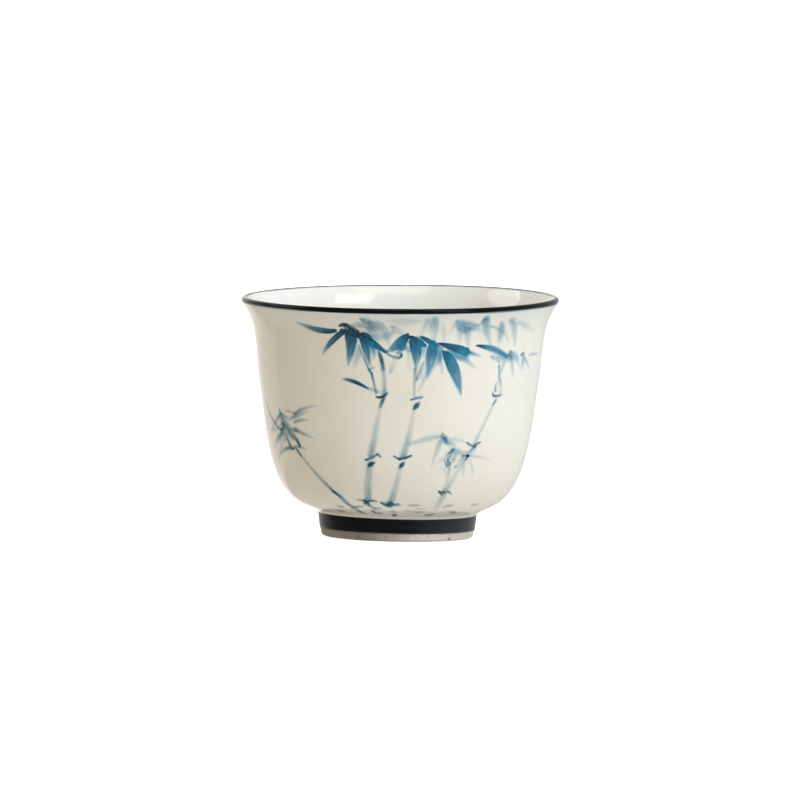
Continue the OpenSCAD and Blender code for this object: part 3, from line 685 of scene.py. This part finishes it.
PALE_LEAVES = [
    (-15.7, 47, -16.7, 44.5, -18.8, 41.1, 0.5, 1.5, 0.2, 0.13, 0.16, 0.04),
    (15, 46.5, 16.6, 43.5, 17.9, 39.7, 1.2, 0.9, 0.15, 0.27, 0.19, 0.06),
    (19.7, 45.7, 26.2, 43.9, 32.5, 41.4, 0.8, 1.2, 0.2, 0.38, 0.27, 0.08),
    (-1.2, 44.5, -2.2, 42.7, -3.5, 40.7, 0.7, 1, 0.6, 0.11, 0.08, 0.24),
    (-4.7, 45.1, -2.8, 44.4, -0.3, 44, 0.3, 0.4, 0.4, 0.46, 0.4, 0.5),
    (-0.8, 45.3, 0.9, 45, 0.4, 44.2, 0.4, 0.5, 0.5, 0.36, 0.52, 0.62),
    (49.8, 44.5, 53.2, 43.9, 55.2, 42.6, 0.5, 1.7, 0.8, 0.32, 0.21, 0.11),
    (51.7, 43.1, 52.7, 40.6, 53.8, 38.4, 1.2, 0.9, 0.2, 0.16, 0.13, 0.04),
    (55, 43.4, 57.2, 41.6, 60.2, 39.8, 0.9, 0.7, 0.2, 0.13, 0.1, 0.03),
    (59.7, 43.6, 62.7, 42.2, 67.2, 40.1, 0.5, 0.9, 0.2, 0.27, 0.19, 0.06),
    (59.2, 43.3, 59.8, 42, 60.6, 40.4, 0.8, 1.1, 0.5, 0.11, 0.18, 0.05),
    (64.2, 43.6, 69.2, 43.7, 75.2, 43.5, 0.3, 0.5, 0.3, 0.16, 0.18, 0.08),
    (-15.8, 51.5, -13.2, 50.4, -10.8, 51.1, 0.8, 1.8, 1.2, 0.05, 0.11, 0.14),
    (-11, 52.2, -10.2, 50.3, -9.4, 48.1, 1.6, 2.2, 1.2, 0.24, 0.18, 0.07),
    (-8.7, 52.5, -5.8, 50.5, -4.4, 47.3, 0.9, 1.8, 0.4, 0.21, 0.16, 0.09),
    (-3.2, 51.6, -1.1, 50.7, 1.7, 49.3, 0.3, 1.6, 0.8, 0.24, 0.12, 0.09),
    (9.8, 53, 9.6, 51.5, 8.8, 49.9, 0.4, 1, 0.9, 0.14, 0.1, 0.04),
    (10.2, 53.3, 11.4, 52.1, 11.6, 49.7, 0.5, 0.9, 0.3, 0.21, 0.14, 0.04),
    (13.1, 53.2, 13.6, 51, 13.4, 48.1, 1.6, 1.5, 0.8, 0.23, 0.18, 0.09),
    (16.2, 52.5, 17.2, 50.5, 17.9, 47.9, 0.6, 1.1, 0.4, 0.03, 0.09, 0.05),
    (21.7, 52.8, 20.5, 51, 19.2, 49.3, 0.6, 0.8, 0.2, 0.11, 0.09, 0.03),
    (23.8, 50.9, 24.2, 49.1, 24, 47.2, 1.3, 1.2, 0.4, 0.16, 0.11, 0.05),
    (27.1, 50.5, 27.6, 48.5, 28.5, 46.5, 1.5, 1.3, 0.5, 0.19, 0.14, 0.1),
    (29.2, 51.1, 32.2, 50.5, 35.2, 49.5, 0.8, 0.8, 0.3, 0.17, 0.12, 0.05),
    (34, 52.9, 35.6, 50.5, 39, 47, 1.9, 1.7, 0.5, 0.33, 0.21, 0.07),
    (36.7, 51.4, 39.7, 50.9, 41.8, 50.3, 0.4, 0.6, 0.5, 0.14, 0.16, 0.1),
    (41.8, 51.9, 43.2, 49.9, 43, 46.5, 1, 1.9, 0.4, 0.18, 0.24, 0.04),
    (44.7, 49.7, 46.5, 48.8, 48.4, 47.3, 0.9, 0.7, 0.3, 0.09, 0.1, 0.12),
    (46.2, 52.5, 50.2, 50.6, 52.8, 46.2, 0.9, 1.7, 0.4, 0.23, 0.17, 0.09),
    (51.4, 51.9, 57.2, 50.8, 66.2, 49.2, 0.4, 1.3, 0.4, 0.16, 0.1, 0.04),
    (-4.8, 52.9, 1.7, 52.8, 8.7, 53, 0.6, 1.6, 0.6, 0.04, 0.09, 0.05),
    (3.4, 45.5, 3.6, 43.5, 4.1, 41.3, 0.5, 0.6, 0.2, 0.08, 0.06, 0.04),
    (-11.9, 43.7, -11.5, 42.8, -11.3, 42, 0.5, 0.5, 0.3, 0.16, 0.18, 0.13),
    (-12, 40.9, -11, 41.5, -9.8, 41.7, 0.3, 0.3, 0.2, 0.48, 0.37, 0.16),
    (39.8, 44.1, 40.5, 43.8, 41.1, 43.5, 0.3, 0.4, 0.3, 0.14, 0.22, 0.14),
    (43.1, 43.2, 43.7, 42.8, 44.3, 42.4, 0.3, 0.3, 0.3, 0.12, 0.2, 0.12),
    (-18.3, 51.6, -15.1, 51.9, -12.1, 51, 0.6, 1.2, 0.6, 0.15, 0.2, 0.12),
    (-11.6, 47.8, -10.4, 45.9, -10.1, 44, 0.8, 1.2, 0.4, 0.26, 0.32, 0.15),
    (-11.1, 49, -6.8, 48.9, -2.5, 50.1, 1, 1.6, 0.9, 0.12, 0.16, 0.12),
    (-0.5, 47.7, 2.2, 46.8, 3.8, 45.6, 0.8, 1.3, 0.6, 0.23, 0.27, 0.17),
    (8, 48.5, 9.1, 46.8, 9.5, 44.6, 1, 1.5, 0.5, 0.26, 0.27, 0.14),
    (16.6, 46.5, 16.4, 44.3, 14.9, 42.2, 1, 1.2, 0.4, 0.29, 0.27, 0.14),
    (20.6, 44.8, 25, 44.1, 29, 44.2, 0.7, 1.3, 0.5, 0.22, 0.27, 0.17),
    (39.6, 44, 45.7, 43.4, 51.8, 43.2, 0.7, 1.5, 0.6, 0.15, 0.19, 0.11),
    (-14.4, 37.1, -10.2, 36.4, -7.7, 36, 0.4, 0.7, 0.4, 0.14, 0.22, 0.18),
    (12.5, 42.2, 10.6, 39.6, 7.9, 36.1, 0.5, 0.7, 0.3, 0.16, 0.15, 0.08),
    (47.4, 42.9, 46.2, 41.2, 44.2, 38.6, 0.3, 0.7, 0.3, 0.12, 0.18, 0.1),
]

LEFT_SPRAY = [
    (-58.4, 26.6, -54.6, 26.3, -49.2, 25.7, 0.9, 1.1, 0.6, 0.21, 0.28, 0.23),
    (-60, 28.9, -59, 26.5, -59.4, 23.5, 1, 1.4, 0.8, 0.16, 0.22, 0.11),
    (-50.2, 26.1, -44.8, 25.2, -38.8, 24.5, 0.9, 0.6, 0.2, 0.37, 0.26, 0.11),
    (-54.2, 25.5, -51, 24.3, -48.5, 22.4, 0.9, 1.1, 0.7, 0.32, 0.32, 0.66),
    (-49.7, 29.7, -43.8, 31.2, -36.4, 32.1, 0.5, 0.7, 0.2, 0.36, 0.25, 0.11),
    (-50.4, 27.8, -45.8, 28.4, -40.8, 28.5, 0.4, 0.6, 0.2, 0.34, 0.23, 0.08),
    (-56.7, 30.1, -53.2, 30.2, -49.2, 29.7, 0.3, 0.4, 0.4, 0.13, 0.19, 0.26),
    (-61, 30.5, -58.7, 28.5, -55.2, 27.2, 0.4, 1.5, 0.9, 0.36, 0.23, 0.23),
    (-60.2, 29.4, -56.2, 28.9, -52.7, 27.9, 0.4, 0.5, 0.2, 0.29, 0.27, 0.16),
    (-61.2, 28.8, -66.2, 27.2, -71.2, 25.4, 0.8, 0.9, 0.2, 0.27, 0.21, 0.1),
    (-60.2, 27.1, -66.2, 25.6, -73.2, 25.2, 0.6, 0.7, 0.2, 0.19, 0.15, 0.22),
    (-60.2, 24.9, -66.2, 23.2, -71.2, 21, 1.2, 1, 0.2, 0.31, 0.22, 0.1),
    (-57.2, 24.6, -56.2, 23, -54.5, 21.5, 0.9, 0.9, 0.6, 0.32, 0.35, 0.48),
    (-54.2, 21.5, -61.7, 20.9, -70.2, 18.3, 0.5, 0.8, 0.15, 0.46, 0.31, 0.11),
    (-58.2, 23.6, -63.2, 21.9, -67.2, 19.7, 0.9, 0.8, 0.3, 0.13, 0.11, 0.1),
    (-75.8, 32.1, -70.3, 28.4, -61, 25.4, 0.3, 0.4, 0.4, 0.32, 0.42, 0.4),
    (-61.2, 25.4, -62.8, 23.9, -64.4, 22.2, 0.4, 0.5, 0.2, 0.34, 0.25, 0.1),
    (-52.2, 21.9, -50, 21, -48.3, 19.9, 0.4, 0.5, 0.35, 0.21, 0.28, 0.28),
    (-57.7, 26.6, -55.3, 25.3, -52.3, 23.8, 0.8, 1, 0.6, 0.28, 0.33, 0.3),
    (-52.3, 22.1, -48.2, 22, -44.5, 21.7, 0.4, 0.5, 0.3, 0.22, 0.26, 0.16),
    (-52.5, 28.7, -47.1, 29.6, -41.5, 30.7, 0.6, 0.8, 0.3, 0.24, 0.22, 0.1),
]

RIGHT_SPRAY = [
    (18.6, 25.7, 12.2, 25, 3.7, 23.7, 0.7, 1.1, 0.4, 0.19, 0.17, 0.12),
    (19.4, 25.7, 20.4, 24.9, 21.5, 24.2, 0.9, 1.4, 0.8, 0.22, 0.3, 0.26),
    (20.2, 25, 20.9, 24.5, 21.6, 24.1, 0.4, 0.5, 0.4, 0.17, 0.26, 0.22),
    (19, 26.4, 19.4, 26.2, 19.8, 25.9, 0.3, 0.4, 0.3, 0.19, 0.28, 0.19),
    (18.6, 24.5, 17, 22, 15.2, 18.3, 1, 0.9, 0.2, 0.19, 0.14, 0.08),
    (22, 24.9, 25.8, 24.8, 30.8, 24, 0.5, 0.8, 0.3, 0.13, 0.11, 0.08),
    (21.8, 24.1, 23.8, 23.8, 25.6, 23.4, 0.9, 1.1, 0.5, 0.2, 0.16, 0.1),
    (23.6, 21.8, 24.3, 22.2, 25.1, 22.6, 0.5, 0.7, 0.4, 0.37, 0.51, 0.36),
    (25, 22.3, 27.8, 21.8, 31, 21, 0.8, 1.1, 0.8, 0.22, 0.18, 0.15),
    (22.1, 21.4, 22.8, 20.7, 22.8, 19.7, 0.7, 0.8, 0.6, 0.22, 0.26, 0.28),
    (22.1, 21.2, 20.2, 20.3, 17.4, 19.3, 0.6, 0.7, 0.2, 0.11, 0.11, 0.07),
    (22.6, 20.1, 22.7, 19.4, 22.6, 18.5, 0.3, 0.45, 0.3, 0.36, 0.45, 0.32),
    (21, 20.1, 21.7, 19.2, 22.4, 18.4, 0.25, 0.35, 0.3, 0.22, 0.29, 0.28),
    (19.8, 18.2, 21.4, 17.6, 23, 16.6, 0.3, 0.5, 0.4, 0.06, 0.11, 0.09),
    (33.6, 20.9, 39.8, 20.4, 45.8, 19.6, 0.8, 0.6, 0.2, 0.13, 0.09, 0.06),
    (33.6, 20, 35.2, 18.6, 36.8, 16.9, 0.7, 0.5, 0.4, 0.09, 0.1, 0.12),
    (30.4, 20, 30.8, 18.5, 32, 16, 1.1, 1, 0.3, 0.12, 0.11, 0.07),
    (28.8, 20.1, 28.4, 19, 27.8, 18.2, 0.8, 0.7, 0.5, 0.1, 0.07, 0.07),
    (26.4, 18.1, 26.9, 18.4, 27.3, 18.7, 0.3, 0.4, 0.3, 0.28, 0.36, 0.24),
    (24.6, 19.8, 25.2, 20.1, 25.8, 20.5, 0.3, 0.5, 0.3, 0.15, 0.18, 0.15),
    (23.8, 22.5, 25.6, 21.1, 25.1, 19.2, 0.8, 1.4, 0.5, 0.12, 0.16, 0.08),
    (30.9, 21.7, 33.5, 21.9, 36.6, 22.4, 0.6, 1.1, 0.5, 0.11, 0.13, 0.07),
]

GROUND = [
    (-41.3, 7.2, -38.8, 7, -36.3, 7.1, 0.25, 0.4, 0.25, 0.2, 0.28, 0.2),
    (-36.3, 8.4, -34.3, 8.2, -32.3, 8.3, 0.25, 0.4, 0.25, 0.24, 0.34, 0.24),
    (-30.3, 9.7, -28.8, 9.1, -27.3, 8.5, 0.3, 0.5, 0.3, 0.2, 0.26, 0.2),
    (-27.3, 8.1, -23.3, 8.4, -19.3, 8.6, 0.3, 0.45, 0.25, 0.42, 0.34, 0.18),
    (-26.3, 7.3, -23.8, 7, -21.3, 6.8, 0.25, 0.35, 0.25, 0.24, 0.28, 0.18),
    (-14.3, 8, -11.8, 8.1, -9.3, 8.3, 0.3, 0.5, 0.3, 0.2, 0.2, 0.14),
    (-14.3, 6.9, -11.8, 7, -9.3, 7, 0.25, 0.35, 0.25, 0.2, 0.28, 0.2),
    (-3.2, 6.6, -1.8, 6.6, -0.4, 6.6, 0.3, 0.5, 0.3, 0.34, 0.44, 0.3),
    (-3.8, 7.6, -2.3, 7.5, -0.8, 7.3, 0.3, 0.4, 0.3, 0.14, 0.2, 0.14),
    (5.2, 9.1, 8.7, 9.2, 12.2, 9.1, 0.25, 0.45, 0.25, 0.14, 0.22, 0.14),
    (3.2, 7.7, 6.2, 7.8, 9.2, 7.7, 0.25, 0.35, 0.25, 0.1, 0.15, 0.1),
    (10.2, 7.5, 12.7, 7.4, 16.2, 7.5, 0.25, 0.4, 0.25, 0.16, 0.22, 0.14),
    (10.2, 8.4, 13.2, 8.3, 16.2, 8.2, 0.25, 0.35, 0.25, 0.1, 0.15, 0.1),
    (18.2, 6.8, 21.2, 6.7, 24.2, 6.8, 0.25, 0.4, 0.25, 0.22, 0.34, 0.22),
    (26.2, 8.7, 28.7, 8.9, 31.2, 9, 0.25, 0.4, 0.25, 0.18, 0.26, 0.24),
    (33.2, 7.5, 36.7, 7.2, 40.2, 7, 0.25, 0.4, 0.25, 0.18, 0.24, 0.16),
    (44.2, 9, 47.2, 8.9, 50.2, 9, 0.25, 0.4, 0.25, 0.16, 0.22, 0.16),
    (-17.4, 9.1, -14.9, 8.7, -12.3, 8.2, 0.3, 0.5, 0.3, 0.22, 0.32, 0.22),
    (-21.6, 10.3, -19, 10.1, -16.8, 10.1, 0.3, 0.5, 0.3, 0.21, 0.27, 0.21),
    (-8.8, 9.7, -6.7, 9.6, -4.5, 9.8, 0.3, 0.5, 0.3, 0.18, 0.24, 0.18),
    (-3.5, 9.5, -0.8, 9.3, 1.9, 9.1, 0.3, 0.5, 0.3, 0.2, 0.27, 0.2),
]

STROKE_LIFT = 0.03 * MM
STROKE_DEPTH = 0.03 * MM
LIFT_A_STROKE = 0.0006 * MM
SOFT_EDGE = 0.65
ALONG_STEP = 0.35
ACROSS_STEP = 0.16
CAP_ROWS = 4
SLOPE_STEP = 0.01
THINNEST_HALF = 0.04
LEAST_TONE, MOST_TONE = 0.03, 1.1
EDGE_CLEARANCE = 0.1 * MM


def through(a, b, c, t):
    """A smooth value that passes through a, b and c at t = 0, 1/2 and 1."""
    return a * (2 * t - 1) * (t - 1) + b * 4 * t * (1 - t) + c * t * (2 * t - 1)


class Wall:
    """The outer glaze's surface, so that strokes can be laid on it."""

    def __init__(self, outline):
        order = np.argsort(outline[:, 1])
        self.heights = outline[order, 1]
        self.radii = outline[order, 0]
        slope = np.gradient(self.radii, self.heights)
        self.out = 1 / np.hypot(1, slope)
        self.down = -slope * self.out

    def radius(self, height):
        return np.interp(height, self.heights, self.radii)

    def place(self, angle, height, lift):
        """The place on the wall at an angle and a height, moved out of the surface by lift."""
        out = np.interp(height, self.heights, self.out)
        down = np.interp(height, self.heights, self.down)
        return on_cup(self.radius(height) + lift * out, angle, height + lift * down)


def stroke_grid(row, wall):
    """A stroke's chart: the angle and height of each grid point, and what the pigment needs to know there."""
    row = np.array(row, float)
    places, widths, tones = row[:6].reshape(3, 2), row[6:9], row[9:]
    mm_a_degree = wall.radius(places[1, 1] * MM) / MM * math.pi / 180
    chart = places * (mm_a_degree, 1)
    rough_length = np.linalg.norm(chart[1] - chart[0]) + np.linalg.norm(chart[2] - chart[1])
    ends = np.array([widths[0], widths[2]]) / 2 + SOFT_EDGE
    inner = np.linspace(0, 1, max(6, int(rough_length / ALONG_STEP)) + 1)
    caps = np.linspace(0, 1, CAP_ROWS + 1)[1:]
    t = np.concatenate([np.zeros(CAP_ROWS), inner, np.ones(CAP_ROWS)])
    beyond = np.concatenate([caps[::-1] * ends[0], inner * 0, caps * ends[1]])
    side = np.concatenate([-np.ones(CAP_ROWS), inner * 0, np.ones(CAP_ROWS)])
    centre = through(*chart, t[:, None])
    ahead = through(*chart, t[:, None] + SLOPE_STEP) - through(*chart, t[:, None] - SLOPE_STEP)
    ahead /= np.linalg.norm(ahead, axis=1)[:, None]
    centre = centre + ahead * (beyond * side)[:, None]
    half = np.maximum(through(*widths, t) / 2, THINNEST_HALF)
    count = 2 * max(3, int(math.ceil((half.max() + SOFT_EDGE) / ACROSS_STEP))) + 1
    share = np.linspace(-1, 1, count)
    across = share[None, :] * (half + SOFT_EDGE)[:, None]
    left = np.stack([-ahead[:, 1], ahead[:, 0]], axis=1)
    grid = centre[:, None, :] + across[:, :, None] * left[:, None, :]
    inset = half[:, None] - np.hypot(across, beyond[:, None])
    along = (t * rough_length + beyond * side)[:, None] + across * 0
    tone = np.clip(through(*tones, t), LEAST_TONE, MOST_TONE)[:, None] + across * 0
    half = half[:, None] + across * 0
    known = {"inset": inset, "half": half, "along": along, "across": across, "tone": tone}
    return grid / (mm_a_degree, 1), known


def painted(name, rows, wall, material):
    """All strokes of a group as one piece: thin closed patches, each lying on the wall."""
    points, faces = [], []
    facts = {"inset": [], "half": [], "along": [], "across": [], "tone": [], "seed": []}
    for number, row in enumerate(rows):
        grid, known = stroke_grid(row, wall)
        along_n, across_n = grid.shape[:2]
        angle, height = np.radians(grid[..., 0]), grid[..., 1] * MM
        height = np.clip(height, wall.heights[0] + EDGE_CLEARANCE, wall.heights[-1] - EDGE_CLEARANCE)
        first = len(points)
        lift = STROKE_LIFT + LIFT_A_STROKE * (number + 1)
        for level in (lift, -STROKE_DEPTH):
            points.extend(wall.place(angle, height, level).reshape(-1, 3))
        top = first + np.arange(along_n * across_n).reshape(along_n, across_n)
        bottom = top + along_n * across_n
        for i in range(along_n - 1):
            for j in range(across_n - 1):
                faces.append((top[i, j], top[i + 1, j], top[i + 1, j + 1], top[i, j + 1]))
                faces.append((bottom[i, j], bottom[i, j + 1], bottom[i + 1, j + 1], bottom[i + 1, j]))
        edge = [(i, 0) for i in range(along_n)] + [(along_n - 1, j) for j in range(1, across_n)]
        edge += [(i, across_n - 1) for i in range(along_n - 2, -1, -1)]
        edge += [(0, j) for j in range(across_n - 2, 0, -1)]
        for here, there in zip(edge, edge[1:] + edge[:1]):
            faces.append((top[there], top[here], bottom[here], bottom[there]))
        seed = RNG.random()
        for key in facts:
            values = known.get(key, np.full(angle.shape, seed)).ravel()
            facts[key] += [values, values]
    faces = [tuple(int(i) for i in face) for face in faces]
    piece = mesh_piece(name, points, faces, material)
    return with_facts(piece, {key: np.concatenate(values) for key, values in facts.items()})


# --- Pieces ---------------------------------------------------------------------------------------

OUTLINE_STEP = 0.4 * MM
INSIDE_STEP = 0.6 * MM
FINE_STEP = 0.2 * MM
LIP_ROUND = 0.8 * MM


def settle(piece, slot, *nodes):
    """The piece rides on the cup and stands for its CAD nodes, which it hides. The slot is not used."""
    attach(piece, "root")
    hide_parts(*nodes)


def make_turned_pieces():
    """The clay, the glaze and the slip as fine smooth pieces. Returns the painted wall's surface."""
    outer = cad_outline("outer_glaze")
    runs = runs_between_corners(outer)
    longest = max((r for r in runs if len(r) > 4), key=lambda r: r[:, 0].mean())
    wall = Wall(smooth_run(longest, OUTLINE_STEP))
    lip_bottom = float(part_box("rim_line")[0].z)
    lip_crest = float(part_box("rim_line")[1].x) - LIP_ROUND
    band_low, band_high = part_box("foot_band")

    outer_glaze = glaze_material("outer_clear_glaze", GLAZE_WHITE, rim_from=lip_bottom,
                                 band_to=float(band_high.z))
    # Painted shade: the inner glaze is a darker, cooler white than the outer, for the inside of the cup.
    inner_glaze = glaze_material("inner_clear_glaze", linear(230, 233, 234), 0.04, 0.012 * MM)
    base_glaze = glaze_material("base_clear_glaze", linear(238, 235, 224))
    clay = clay_material(float(band_low.z))
    band = foot_band_material(float(band_low.z), float(band_high.z))

    for name, node, slot, material, step, curved in (
        ("outer_glaze_coat", "outer_glaze", "clear_glaze", outer_glaze, OUTLINE_STEP, True),
        ("inner_glaze_coat", "inner_glaze", "clear_glaze", inner_glaze, INSIDE_STEP, True),
        ("rim_line_coat", "rim_line", "dark_rim_glaze", rim_material(lip_crest, lip_bottom), FINE_STEP, True),
        ("base_glaze_pool", "base_glaze", "clear_glaze", base_glaze, OUTLINE_STEP, False),
        ("foot_band_slip", "foot_band", "dark_foot_slip", band, FINE_STEP, False),
        ("foot_ring_clay", "foot_ring", "fired_clay", clay, FINE_STEP, False),
        ("bowl_clay", "bowl_body", "fired_clay", clay, INSIDE_STEP, True),
    ):
        outline = fine_outline(cad_outline(node), step, curved)
        settle(turned(name, outline, material), slot, node)
    return wall


def make_painting(wall):
    """The brushwork, laid over the glaze from the palest group to the darkest."""
    cobalt = pigment_material("cobalt_brushwork", COBALT, GREY_COBALT)
    grey = pigment_material("grey_cobalt_brushwork", GREY_COBALT)
    for name, node, slot, rows, material in (
        ("painted_ground", "ground_strokes", "pale_cobalt", GROUND, grey),
        ("painted_pale_leaves", "pale_leaves", "pale_cobalt", PALE_LEAVES, cobalt),
        ("painted_stalks", "bamboo_stalks", "pale_cobalt", STALKS, grey),
        ("painted_right_spray", "right_spray", "pale_cobalt", RIGHT_SPRAY, cobalt),
        ("painted_left_spray", "left_spray", "middle_cobalt", LEFT_SPRAY, grey),
        ("painted_twigs", "twigs", "middle_cobalt", TWIGS, grey),
        ("painted_middle_leaves", "middle_leaves", "middle_cobalt", MIDDLE_LEAVES, cobalt),
        ("painted_joint_marks", "joint_marks", "dark_cobalt", JOINT_MARKS, grey),
        ("painted_dark_leaves", "dark_leaves", "dark_cobalt", DARK_LEAVES, cobalt),
    ):
        settle(painted(name, rows, wall, material), slot, node)


# --- Studio ---------------------------------------------------------------------------------------

CAMERA_DISTANCE = 6.0
CAMERA_ELEVATION = 4.2
CAMERA_ROLL = 1.2
CUP_SHARE_OF_PICTURE = 0.3975
AIM_HEIGHT = 0.5685
FLOOR_HALF = 20.0
EDGE_RADIUS = 1.9
EDGE_HEIGHT = 0.035
EDGE_POINTS = 97
PAPER_GLOW = 0.75
LIGHT_DISTANCE = 4.0


def make_camera():
    """A long lens, a little above the lip, level with the cup's painted front."""
    data = bpy.data.cameras.new("camera")
    camera = bpy.data.objects.new("camera", data)
    bpy.context.scene.collection.objects.link(camera)
    data.sensor_width = 36
    data.lens = data.sensor_width * CAMERA_DISTANCE / (CUP_W / CUP_SHARE_OF_PICTURE)
    data.clip_start, data.clip_end = 0.1, 100
    up = math.radians(CAMERA_ELEVATION)
    aim = Vector((0, 0, CAD_BOX[0].z + AIM_HEIGHT * CUP_H))
    back = Vector((0, -math.cos(up), math.sin(up)))
    camera.location = aim + back * CAMERA_DISTANCE
    facing = (-back).to_track_quat("-Z", "Y").to_matrix()
    camera.rotation_euler = (facing @ Matrix.Rotation(math.radians(CAMERA_ROLL), 3, "Z")).to_euler()
    bpy.context.scene.camera = camera


def make_floor():
    """White paper, laid flat, and a low upturned edge round it that hides where the floor ends.

    It sends no bounce light to the cup, which stands in the warm light of a room.
    """
    floor_points = [(x * FLOOR_HALF, y * FLOOR_HALF, 0) for x, y in ((-1, -1), (1, -1), (1, 1), (-1, 1))]
    turns = np.radians(np.linspace(0, 360, EDGE_POINTS))
    round_points = [(EDGE_RADIUS * math.sin(turn), -EDGE_RADIUS * math.cos(turn), height)
                    for turn in turns for height in (0.0, EDGE_HEIGHT)]
    round_faces = [(i, i + 2, i + 3, i + 1) for i in range(0, len(round_points) - 2, 2)]
    n = Nodes("floor_paper")
    white = linear(250, 250, 249)
    paper = n.done(n.surface(white, 0.9, Emission_Color=white, Emission_Strength=PAPER_GLOW))
    for name, points, faces in (("floor", floor_points, [(0, 1, 2, 3)]),
                                ("backdrop", round_points, round_faces)):
        mesh = bpy.data.meshes.new(name)
        mesh.from_pydata(points, [], faces)
        mesh.materials.append(paper)
        sheet = bpy.data.objects.new(name, mesh)
        bpy.context.scene.collection.objects.link(sheet)
        sheet.visible_diffuse = False
        sheet.visible_glossy = False
        sheet.visible_shadow = name == "floor"


def softbox(name, azimuth, elevation, width, height, brightness):
    """A rectangular light that faces the cup. Azimuth 0 is the camera's side, and it grows to the right."""
    data = bpy.data.lights.new(name, "AREA")
    data.shape = "RECTANGLE"
    data.size, data.size_y = width, height
    data.energy = brightness * math.pi * width * height
    light = bpy.data.objects.new(name, data)
    bpy.context.scene.collection.objects.link(light)
    side, up = math.radians(azimuth), math.radians(elevation)
    away = Vector((math.sin(side) * math.cos(up), -math.cos(side) * math.cos(up), math.sin(up)))
    light.location = Vector((0, 0, CUP_H / 2)) + away * LIGHT_DISTANCE
    light.rotation_euler = (-away).to_track_quat("-Z", "Y").to_euler()
    return light


ROOM_LEFT = (0.442, 0.366, 0.254, 1)
ROOM_RIGHT = (0.87, 0.905, 0.91, 1)
TABLE_LIGHT = (0.84, 0.80, 0.73, 1)
TABLE_FROM = -0.1
TABLE_FULL = -0.7
TABLE_SHARE = 0.5


def make_studio():
    """A dim room, warm on the left and cool on the right, a pale table and soft lights round it."""
    world = bpy.data.worlds.new("studio")
    bpy.context.scene.world = world
    world.use_nodes = True
    tree = world.node_tree
    tree.nodes.clear()
    place = tree.nodes.new("ShaderNodeTexCoord")
    split = tree.nodes.new("ShaderNodeSeparateXYZ")
    share = tree.nodes.new("ShaderNodeMapRange")
    ramp = tree.nodes.new("ShaderNodeValToRGB")
    below = tree.nodes.new("ShaderNodeMapRange")
    with_table = tree.nodes.new("ShaderNodeMixRGB")
    lighting = tree.nodes.new("ShaderNodeBackground")
    output = tree.nodes.new("ShaderNodeOutputWorld")
    share.inputs["From Min"].default_value = -1.0
    ramp.color_ramp.elements[0].color = ROOM_LEFT
    ramp.color_ramp.elements[1].color = ROOM_RIGHT
    below.inputs["From Min"].default_value = TABLE_FROM
    below.inputs["From Max"].default_value = TABLE_FULL
    below.inputs["To Max"].default_value = TABLE_SHARE
    with_table.inputs[2].default_value = TABLE_LIGHT
    tree.links.new(place.outputs["Generated"], split.inputs[0])
    tree.links.new(split.outputs[0], share.inputs["Value"])
    tree.links.new(share.outputs[0], ramp.inputs[0])
    tree.links.new(split.outputs[2], below.inputs["Value"])
    tree.links.new(below.outputs[0], with_table.inputs[0])
    tree.links.new(ramp.outputs[0], with_table.inputs[1])
    tree.links.new(with_table.outputs[0], lighting.inputs["Color"])
    tree.links.new(lighting.outputs[0], output.inputs["Surface"])
    softbox("key_softbox", 43, 42, 1.9, 1.5, 4.6)
    softbox("top_softbox", 10, 72, 3.0, 2.4, 2.0)
    softbox("low_softbox", 42, 3, 1.2, 1.4, 3.6)
    softbox("back_softbox", -150, 10, 4.8, 4.4, 0.5)
    card = softbox("round_card", -103, 32, 2.3, 1.9, 2.3)
    card.data.shape = "ELLIPSE"
    card.visible_diffuse = False
    bpy.context.scene.view_settings.view_transform = "Standard"


make_camera()
make_floor()
make_studio()
make_painting(make_turned_pieces())
